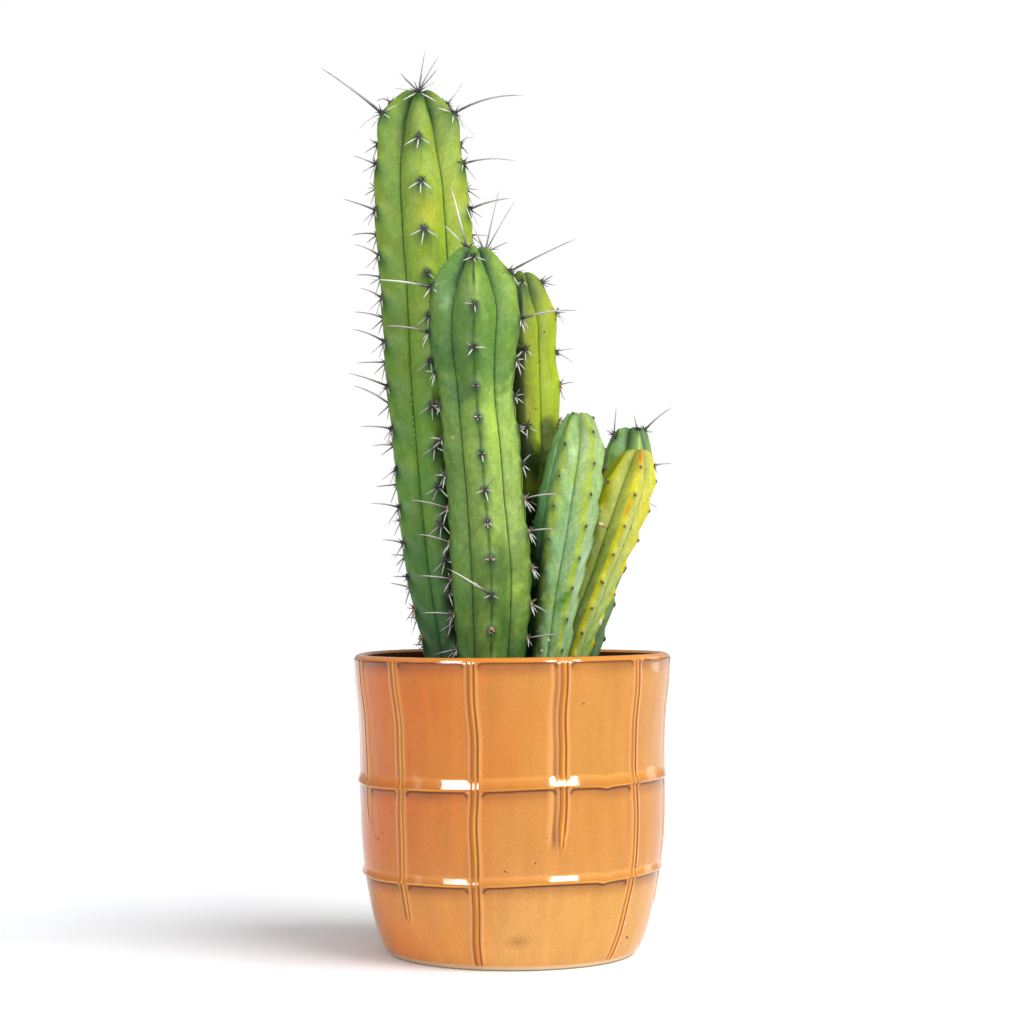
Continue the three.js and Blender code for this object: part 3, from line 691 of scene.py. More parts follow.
def grow_stem(name, material, half_rib):
    """The skin of one stem, as rings of points from the planted end to the tip."""
    stem = STEMS[name]
    tip = stem["rows"][-1][0]
    shoulder = tip - stem["crown"]
    root = [ROOT_END + 0.6, ROOT_END + 2, ROOT_END + 4, ROOT_END + ROOT_ROUNDING, SOIL_TOP - 8]
    crown = shoulder + stem["crown"] * np.sin(np.linspace(0, 0.985, 44)[1:] * math.pi / 2)
    heights = np.concatenate([root, np.arange(SOIL_TOP - 4, shoulder, RING_STEP), crown])
    one_rib = np.concatenate([-half_rib[:0:-1], half_rib[:-1]])
    columns = stem["ribs"] * len(one_rib)
    angles = np.concatenate([rib_angle(stem, rib) + math.pi / stem["ribs"] * one_rib for rib in range(stem["ribs"])])
    z, angle = np.meshgrid(heights, angles, indexing="ij")
    over_rib = crest_radius(stem, z)
    marks = skin_marks(name, angle, z, over_rib)

    open_skin = smooth(0, 7, over_rib) * smooth(SOIL_TOP - 6, SOIL_TOP + 2, z)
    furrows = np.array([noise.noise(Vector((fan * 0.55, side, rib))) for fan, side, rib in
                        marks["grain"].reshape(-1, 3)]).reshape(z.shape)
    drift = np.array([noise.noise(Vector((math.sin(a) * 2.2, math.cos(a) * 2.2, h / 14 + len(name))))
                      for h, a in zip(z.ravel(), angle.ravel())]).reshape(z.shape)
    radius = skin_radius(stem, angle, z) + open_skin * (
        KNOB_RISE * np.exp(-(marks["spot"] / KNOB_REACH) ** 2) + SHOWS[name]["furrow"] * furrows * marks["flank"]
        + UNEVENNESS * drift)

    axis = along(stem["rows"], z)
    x, y = axis[..., 0] + radius * np.sin(angle), axis[..., 1] - radius * np.cos(angle)
    # Distance to the neighbours: the skin close to another stem is darkened as painted shade, since
    # little light falls between two stems.
    gaps = []
    for other in STEMS.values():
        if other is not stem:
            near_axis = along(other["rows"], z)
            past_tip = np.clip(z - other["rows"][-1][0] + 4, 0, None)
            gaps.append(np.hypot(x - near_axis[..., 0], y - near_axis[..., 1]) - near_axis[..., 2] + 1.5 * past_tip)
    share, start, full = SHOWS[name]["gap_shade"]
    marks["gap_shade"] = share * smooth(10, 1.5, np.min(gaps, 0)) * smooth(start, full, z)

    lift = DIMPLE * np.exp(-(radius / (0.2 * stem["rows"][-1][3])) ** 2) * smooth(shoulder, tip, z)
    points = np.stack([x, y, z + crown_lift(stem, angle, z) - lift], -1).reshape(-1, 3)
    ends = np.array([[*along(stem["rows"], ROOT_END)[:2], ROOT_END],
                     [*along(stem["rows"], tip)[:2], points[-columns:, 2].mean() - 0.1]])
    piece = mesh_piece(name + "_skin", np.vstack([points, ends]), ring_faces(len(heights), columns), [material],
                       {label: grid_values(values) for label, values in marks.items()})
    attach(piece, "root")
    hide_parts(name)
    print(piece.name, triangles(piece), "triangles,", len(areoles(stem)), "areoles")


# %% [markdown]
# ## Cactus skin
#
# The skin is a thin, waxy cuticle over water-filled tissue. Wax has an IOR near 1.45 and gives a
# soft, broad gloss, with a roughness near 0.6. Its colour is built up like a glaze painting: first a
# tone that changes along the stem, yellower on the side that stood in the sun, with painted shade in
# its darker tones towards the soil and on the side away from the light, then fibres and mottling that
# only make it lighter or darker, then the masks one over the other, some of them painted shade and
# highlight.

# %% Cactus skin material
SKIN_MASKS = ("tone", "sun", "crease", "flank", "band", "pale_side", "shady", "spot", "under", "glow", "flush_and_highlight",
              "moss_and_shade", "bloom", "amber", "gap_shade")


def cactus_skin(name, look):
    """Waxy cuticle. look holds the tissue's tones along the stem and, for each mask, a colour and a share."""
    material, tree, shader = new_material(name, {"IOR": 1.45, "Specular IOR Level": 0.2})
    place = add(tree, "TexCoord").outputs["Object"]
    mask = {label: add(tree, "Attribute", attribute_name=label).outputs["Fac"] for label in SKIN_MASKS}
    grain = add(tree, "Attribute", attribute_name="grain").outputs["Vector"]

    # Tones along the stem, on the shady and on the sunny side, with a slow waver of 15 mm. The shady
    # side's darker tones and the dark tones near the soil are painted shade.
    drift = add(tree, "TexNoise", {"Vector": place, "Scale": 65.0, "Detail": 3.0, "Roughness": 0.55})
    waver = add(tree, "MapRange", {0: drift, 1: 0.3, 2: 0.7, 3: -0.05, 4: 0.05})
    tone = add(tree, "Math", {0: mask["tone"], 1: waver}, **PLUS)
    shade_side = add(tree, "ValToRGB", {"Fac": tone}, stops=look["shade_side"])
    sun_side = add(tree, "ValToRGB", {"Fac": tone}, stops=look["sun_side"])
    colour = add(tree, "Mix", {0: mask["sun"], 6: shade_side, 7: sun_side}, **COLOURS)

    # Greener and yellower clouds 10 mm across.
    for shift, label in ((0.0, "moss_and_shade"), (3.0, "glow")):
        moved = add(tree, "Mapping", {"Vector": place, "Location": (shift, 0.0, 0.0), "Scale": (1.0, 1.0, 0.55)})
        cloud = add(tree, "TexNoise", {"Vector": moved, "Scale": 95.0, "Detail": 4.0, "Roughness": 0.6})
        amount = add(tree, "MapRange", {0: cloud, 1: 0.5, 2: 0.72, 4: look["clouds"]}, **SOFT)
        colour = add(tree, "Mix", {0: amount, 6: colour, 7: look[label][0]}, **COLOURS)

    # Bloom, a pale wax, in soft patches 8 mm across, mostly on the flanks.
    patchy = add(tree, "TexNoise", {"Vector": place, "Scale": 120.0, "Detail": 5.0, "Roughness": 0.6})
    clouds = add(tree, "MapRange", {0: patchy, 1: 0.45, 2: 0.72, 4: look["bloom"][1]}, **SOFT)
    waxy = add(tree, "Math", {0: clouds, 1: mask["flank"]}, **TIMES)
    waxy = add(tree, "Math", {0: waxy, 1: mask["bloom"]}, operation="MAXIMUM")
    colour = add(tree, "Mix", {0: waxy, 6: colour, 7: look["bloom"][0]}, **COLOURS)

    # Masks, each with its colour and share, broken up a little by the patches. shady, under,
    # moss_and_shade, crease and gap_shade paint shade, wholly or in part, and glow and
    # flush_and_highlight paint highlight in part.
    ragged = add(tree, "MapRange", {0: patchy, 1: 0.3, 2: 0.6, 3: 0.75, 4: 1.3})
    for label in ("shady", "band", "pale_side", "glow", "flush_and_highlight", "amber", "under", "moss_and_shade", "crease", "gap_shade"):
        if label in look:
            tint, share = look[label]
            amount = add(tree, "Math", {0: mask[label], 1: share}, **TIMES)
            amount = add(tree, "Math", {0: amount, 1: ragged}, use_clamp=True, **TIMES)
            colour = add(tree, "Mix", {0: amount, 6: colour, 7: tint}, **COLOURS)
    ring = add(tree, "MapRange", {0: mask["spot"], 1: 3.4, 2: 1.2, 4: look["ring"]}, **SOFT)
    colour = add(tree, "Mix", {0: ring, 6: colour, 7: look["under"][0]}, **COLOURS)

    # Fibres 1 mm apart: falling from the crest on the flanks, and straight down the stem everywhere.
    falling = add(tree, "TexNoise", {"Vector": grain, "Scale": 0.7, "Detail": 4.0, "Roughness": 0.65})
    fan_light = add(tree, "MapRange", {0: falling, 1: 0.3, 2: 0.7, 3: 1 - look["fibres"], 4: 1 + look["fibres"]})
    colour = add(tree, "Mix", {0: mask["flank"], 6: colour, 7: fan_light}, **SHADES)
    upright = add(tree, "Mapping", {"Vector": place, "Scale": (1.0, 1.0, 0.06)})
    streak = add(tree, "TexNoise", {"Vector": upright, "Scale": 1000.0, "Detail": 2.0, "Roughness": 0.6})
    streak_light = add(tree, "MapRange", {0: streak, 1: 0.3, 2: 0.7, 3: 0.91, 4: 1.08})
    colour = add(tree, "Mix", {0: 1.0, 6: colour, 7: streak_light}, **SHADES)

    # Leathery blotches 3 mm across and mottling 1.2 mm across.
    blotch = add(tree, "TexNoise", {"Vector": place, "Scale": 330.0, "Detail": 3.0, "Roughness": 0.6})
    leather = look["leather"]
    blotch_light = add(tree, "MapRange", {0: blotch, 1: 0.35, 2: 0.65, 3: 1 - leather, 4: 1 + leather})
    colour = add(tree, "Mix", {0: 1.0, 6: colour, 7: blotch_light}, **SHADES)
    mottle = add(tree, "TexNoise", {"Vector": place, "Scale": 800.0, "Detail": 4.0, "Roughness": 0.65})
    mottle_light = add(tree, "MapRange", {0: mottle, 1: 0.3, 2: 0.7, 3: 0.86, 4: 1.12})
    colour = add(tree, "Mix", {0: 1.0, 6: colour, 7: mottle_light}, **SHADES)

    # Pale pores and brown specks, 0.3 mm across, a few to a square centimetre.
    cells = add(tree, "TexVoronoi", {"Vector": place, "Scale": 230.0, "Randomness": 1.0})
    draw = add(tree, "SeparateColor", {"Color": cells.outputs["Color"]})
    dot = add(tree, "MapRange", {0: cells.outputs["Distance"], 1: 0.055, 2: 0.03}, **SOFT)
    for channel, low, high, tint in ((0, 0.8, 0.82, "#C5D29A"), (1, 0.96, 0.97, "#5B4526")):
        chosen = add(tree, "MapRange", {0: draw.outputs[channel], 1: low, 2: high, 4: 0.75})
        amount = add(tree, "Math", {0: dot, 1: chosen}, **TIMES)
        colour = add(tree, "Mix", {0: amount, 6: colour, 7: tint}, **COLOURS)
    tree.links.new(colour.outputs[2], shader.inputs["Base Color"])

    # Wax is a little duller where the bloom lies.
    dull = add(tree, "MapRange", {0: patchy, 1: 0.3, 2: 0.7, 3: 0.5, 4: 0.68})
    tree.links.new(dull.outputs[0], shader.inputs["Roughness"])

    # Skin texture: pores 0.4 mm across over shallow streaks.
    pores = add(tree, "TexNoise", {"Vector": place, "Scale": 2400.0, "Detail": 2.0})
    fine = add(tree, "Bump", {"Height": pores, "Strength": 0.15, "Distance": 0.0002})
    folds = add(tree, "Bump", {"Height": falling, "Strength": 2 * look["fibres"], "Distance": 0.0004,
                               "Normal": fine})
    skin = add(tree, "Bump", {"Height": streak, "Strength": 0.2, "Distance": 0.0003, "Normal": folds})
    tree.links.new(skin.outputs[0], shader.inputs["Normal"])
    return material


# %% The six stems' tones
# shade_side and sun_side: colours from the soil at 0 to the tip at 1; the dark stops near the soil and
# the darker shade-side stops are painted shade. Then a colour and a share for each mask: bloom, pale
# wax. glow, the zone above an areole, partly painted highlight. under, the patch below it, partly
# painted shade. flush_and_highlight, moss_and_shade and amber, single patches; flush is partly
# painted highlight and moss partly painted shade. crease, painted shade in the groove. band, pale_side
# and shady, as in SHOWS, shady being painted shade. gap_shade, painted shade beside a neighbour.
# clouds: share of moss and glow tones all over. ring: how dark the skin round an areole is. leather
# and fibres: how much lighter and darker blotches and fibres are.
LOOKS = {
    "tall_stem": {
        "shade_side": [(0, "#2C4F3D"), (0.08, "#406E44"), (0.3, "#5A8B2B"), (0.6, "#557D21"),
                       (0.8, "#6F942E"), (1, "#709530")],
        "sun_side": [(0, "#345A3F"), (0.1, "#4D8345"), (0.32, "#5B8C37"), (0.55, "#7BA02C"),
                     (0.75, "#8DAA29"), (1, "#7E9545")],
        "bloom": ("#83A25B", 0.12), "glow": ("#9EA628", 0.35), "flush_and_highlight": ("#A7AA22", 0.8),
        "under": ("#2F5A16", 0.92), "moss_and_shade": ("#335524", 0.6), "crease": ("#204827", 0.9),
        "gap_shade": ("#0A1407", 0.95), "clouds": 0.28, "ring": 0.85, "leather": 0.05, "fibres": 0.1,
    },
    "middle_stem": {
        "shade_side": [(0, "#3F6A25"), (0.15, "#547F2A"), (0.4, "#5C8232"), (0.675, "#5B8235"),
                       (0.7, "#437031"), (1, "#62903C")],
        "sun_side": [(0, "#2C5016"), (0.15, "#466C1D"), (0.29, "#5D782A"), (0.4, "#8BA44C"),
                     (0.675, "#86A646"), (0.7, "#52782E"), (0.85, "#5B832F"), (1, "#749535")],
        "bloom": ("#83A465", 0.22), "glow": ("#7D9832", 0.4), "flush_and_highlight": ("#9DBB46", 0.85),
        "under": ("#204818", 0.92), "moss_and_shade": ("#355C1C", 0.8), "crease": ("#194030", 0.9),
        "gap_shade": ("#1C2E12", 0.8), "clouds": 0.5, "ring": 0.7, "leather": 0.12, "fibres": 0.09,
    },
    # The back stem's almost black low tones and shady face are painted shade from the stems in front of it.
    "back_stem": {
        "shade_side": [(0, "#0C1904"), (0.25, "#162907"), (0.6, "#3A5815"), (1, "#5B7C2C")],
        "sun_side": [(0, "#0C1C04"), (0.3, "#182F05"), (0.5, "#162704"), (0.575, "#1C3007"),
                     (0.615, "#5A6C10"), (0.65, "#9DB41C"), (0.85, "#8EA21A"), (1, "#577037")],
        "bloom": ("#9AAB53", 0.15), "glow": ("#A1AA1F", 0.5), "flush_and_highlight": ("#B4B32E", 0.8),
        "under": ("#4A691A", 0.5), "moss_and_shade": ("#1D3209", 0.85), "crease": ("#315114", 0.85),
        "shady": ("#16240A", 0.95),
        "gap_shade": ("#0C1406", 0.95), "clouds": 0.25, "ring": 0.6, "leather": 0.04, "fibres": 0.05,
    },
    "front_stem": {
        "shade_side": [(0, "#2F5C3A"), (0.2, "#3D754F"), (0.6, "#579065"), (1, "#9AC778")],
        "sun_side": [(0, "#6C9A47"), (0.2, "#87AF67"), (0.6, "#8AAE78"), (1, "#A2B76F")],
        "bloom": ("#A6C0A1", 0.5), "glow": ("#9CB24B", 0.35), "flush_and_highlight": ("#99B529", 0.8),
        "under": ("#417338", 0.4), "moss_and_shade": ("#4A820E", 1.0), "crease": ("#35683C", 0.5),
        "band": ("#A5B52C", 0.8), "pale_side": ("#A5BFAE", 0.7),
        "gap_shade": ("#0E2012", 0.9), "clouds": 0.35, "ring": 0.35, "leather": 0.07, "fibres": 0.22,
    },
    "leaning_stem": {
        "shade_side": [(0, "#75BF40"), (0.3, "#81B226"), (0.6, "#6C8B12"), (1, "#8F9916")],
        "sun_side": [(0, "#82B967"), (0.2, "#AFC872"), (0.5, "#ADBD6A"), (1, "#C6C563")],
        "bloom": ("#C1C787", 0.3), "glow": ("#B6B729", 0.35), "flush_and_highlight": ("#D2C618", 0.8),
        "under": ("#8B9524", 0.3), "moss_and_shade": ("#538024", 0.7), "crease": ("#6F7F1C", 0.6),
        "band": ("#CCC40A", 1.0), "shady": ("#6C8E2C", 0.6), "amber": ("#CF7A1C", 0.9),
        "gap_shade": ("#2A3A10", 0.7), "clouds": 0.25, "ring": 0.3, "leather": 0.05, "fibres": 0.08,
    },
    "rear_stem": {
        "shade_side": [(0, "#34512E"), (0.5, "#5E8C49"), (1, "#76A560")],
        "sun_side": [(0, "#4F6D49"), (0.5, "#66854A"), (1, "#7C9A51")],
        "bloom": ("#8FB380", 0.25), "glow": ("#9BBD53", 0.3),
        "under": ("#385E2E", 0.5), "moss_and_shade": ("#385E2E", 0.5), "crease": ("#204830", 0.85),
        "band": ("#AED068", 0.7),
        "gap_shade": ("#142410", 0.8), "clouds": 0.2, "ring": 0.5, "leather": 0.05, "fibres": 0.06,
    },
}
for stem_name in STEMS:
    spiny = stem_name in ("tall_stem", "middle_stem", "back_stem")
    grow_stem(stem_name, cactus_skin("skin_" + stem_name, LOOKS[stem_name]),
              HALF_RIB if spiny else SMALL_HALF_RIB)

# %% [markdown]
# ## Spines
#
# A spine is a hardened leaf: black at its base, grey or bone white along its length and dark again
# at the needle tip. Each is a tapered tube of a few rings with a slight bend, because a hair system
# would be lost on export. On a usual areole three pale radials lie low on the rib, short dark ones
# stand round them, and one longer central points out. The clusters at the crowns are the youngest
# and the longest, so those are drawn one spine at a time.

# %% Spine and felt shapes
rng = np.random.default_rng(7)


class Cluster:
    """Collects points, faces and attributes until they become one mesh."""

    def __init__(self):
        self.points, self.faces, self.slots = [], [], []
        self.reach, self.pale = [], []
        self.count = 0

    def keep(self, points, faces, slot, reach, pale):
        """Adds one small solid, whose faces count its own points from 0."""
        self.points.append(points)
        self.faces += [tuple(i + self.count for i in face) for face in faces]
        self.slots += [slot] * len(faces)
        self.reach.append(reach)
        self.pale.append(np.full(len(points), pale))
        self.count += len(points)


def unit(vector):
    return vector / np.linalg.norm(vector)


def add_spine(cluster, base, tip, radius, bow, pale, rings=8, sides=6, wear=1.0):
    """A tapered tube from base to tip, bowed by the vector bow at its middle. Without wear it stays black."""
    t = np.linspace(0, 1, rings) ** 1.15
    line = base + (tip - base) * t[:, None] + np.outer(4 * t * (1 - t), bow)
    forward = unit(tip - base)
    side = unit(np.cross(forward, [0.31, 0.22, 0.92]))
    up = np.cross(side, forward)
    girth = radius * (1 - t) ** 0.5 * (1 + 0.4 * np.exp(-t * 12)) + 0.03
    turn = np.arange(sides) * 2 * math.pi / sides
    circle = np.cos(turn)[:, None] * side + np.sin(turn)[:, None] * up
    tube = line[:, None, :] + girth[:, None, None] * circle[None]
    points = np.vstack([tube.reshape(-1, 3), base, tip])
    cluster.keep(points, ring_faces(rings, sides), 0, wear * np.append(np.repeat(t, sides), [0, 1]), pale)


def add_pad(cluster, base, outward, wide, high, rise, slot, pale, rough=0.2):
    """A low, lumpy dome that sits on the skin: a felt pad or a corky scar."""
    side = unit(np.cross([0.02, 0.03, 1.0], outward))
    up = np.cross(outward, side)
    sides, rings = 10, 4
    turn = np.arange(sides) * 2 * math.pi / sides
    knock = 1 + rough * rng.standard_normal(sides)[:, None]
    edge = wide * np.cos(turn)[:, None] * side + high * np.sin(turn)[:, None] * up
    rows = []
    for lean in np.radians([-8, 22, 48, 72]):
        height = rise * math.sin(lean) - (0.4 if lean < 0 else 0)
        rows.append(base + knock * math.cos(lean) * edge + outward * height)
    points = np.vstack([*rows, base - outward * 0.5, base + outward * rise])
    cluster.keep(points, ring_faces(rings, sides), slot, np.linspace(0, 1, len(points)), pale)


print("one spine has", len(ring_faces(8, 6)), "faces, one pad", len(ring_faces(4, 10)))

# %% [markdown]
# ### Horn, felt and cork
#
# Spines are horn-like: keratin has an IOR of 1.54 and a smooth, glossy surface. The colour runs
# along the attribute reach, from the black base to the dark tip, and older pale spines are speckled.
# Felt is short, dense hair, which scatters light, so it is rough with a little sheen. Where the skin
# was scratched it healed with cork, which is dull and tan.

# %% Spine, felt and cork materials
spine_horn, tree, shader = new_material("spine_horn", {"Roughness": 0.4, "IOR": 1.54})
reach_along = add(tree, "Attribute", attribute_name="reach").outputs["Fac"]
pale_share = add(tree, "Attribute", attribute_name="pale").outputs["Fac"]
dark_horn = add(tree, "ValToRGB", {"Fac": reach_along}, stops=[
    (0.0, "#070506"), (0.14, "#120C0E"), (0.3, "#463A3B"), (0.62, "#7E6C66"), (0.85, "#66524B"), (1.0, "#2E201D")])
bone_horn = add(tree, "ValToRGB", {"Fac": reach_along}, stops=[
    (0.0, "#070506"), (0.16, "#1C1617"), (0.3, "#B9B2AE"), (0.5, "#E4E0DC"), (0.8, "#D8D2CE"), (1.0, "#6A5A56")])
horn_colour = add(tree, "Mix", {0: pale_share, 6: dark_horn, 7: bone_horn}, **COLOURS)
grain = add(tree, "TexNoise", {"Scale": 1400.0, "Detail": 2.0})
speckle = add(tree, "MapRange", {0: grain, 1: 0.52, 2: 0.68, 4: 0.5}, **SOFT)
horn_colour = add(tree, "Mix", {0: speckle, 6: horn_colour, 7: "#6F625E"}, **COLOURS)
tree.links.new(horn_colour.outputs[2], shader.inputs["Base Color"])
grain_bump = add(tree, "Bump", {"Height": grain, "Strength": 0.1, "Distance": 0.0001})
tree.links.new(grain_bump.outputs[0], shader.inputs["Normal"])

areole_felt, tree, shader = new_material("areole_felt", {"Roughness": 0.95, "Sheen Weight": 0.05})
hairs = add(tree, "TexNoise", {"Scale": 2600.0, "Detail": 4.0, "Roughness": 0.7})
dark_felt = add(tree, "ValToRGB", {"Fac": hairs}, stops=[
    (0.3, "#050404"), (0.55, "#0E090A"), (0.7, "#2A1E20"), (0.9, "#6A5A54")])
tan_felt = add(tree, "ValToRGB", {"Fac": hairs}, stops=[(0.3, "#7A4A24"), (0.5, "#D29A66"), (0.75, "#F2D8AE")])
tan_share = add(tree, "Attribute", attribute_name="pale").outputs["Fac"]
felt_colour = add(tree, "Mix", {0: tan_share, 6: dark_felt, 7: tan_felt}, **COLOURS)
tree.links.new(felt_colour.outputs[2], shader.inputs["Base Color"])
hair_bump = add(tree, "Bump", {"Height": hairs, "Strength": 0.8, "Distance": 0.0003})
tree.links.new(hair_bump.outputs[0], shader.inputs["Normal"])

healed_cork, tree, shader = new_material("healed_cork", {"Roughness": 0.85})
cork_age = add(tree, "Attribute", attribute_name="pale").outputs["Fac"]
crackle = add(tree, "TexNoise", {"Scale": 1500.0, "Detail": 4.0, "Roughness": 0.7})
cork_colour = add(tree, "ValToRGB", {"Fac": cork_age}, stops=[
    (0.0, "#4A2818"), (0.4, "#9A6A40"), (0.7, "#D0AC7C"), (1.0, "#EADFC4")])
cork_light = add(tree, "MapRange", {0: crackle, 1: 0.3, 2: 0.7, 3: 0.7, 4: 1.15})
cork_colour = add(tree, "Mix", {0: 1.0, 6: cork_colour, 7: cork_light}, **SHADES)
tree.links.new(cork_colour.outputs[2], shader.inputs["Base Color"])
cork_bump = add(tree, "Bump", {"Height": crackle, "Strength": 0.6, "Distance": 0.0002})
tree.links.new(cork_bump.outputs[0], shader.inputs["Normal"])
print("horn, felt and cork ready")

# %% [markdown]
# ### The crowns' own spines
#
# Each entry gives where a spine ends, in millimetres from its areole to the right, to the back and
# up, how far it bows upward, its radius at the base and how pale it is.

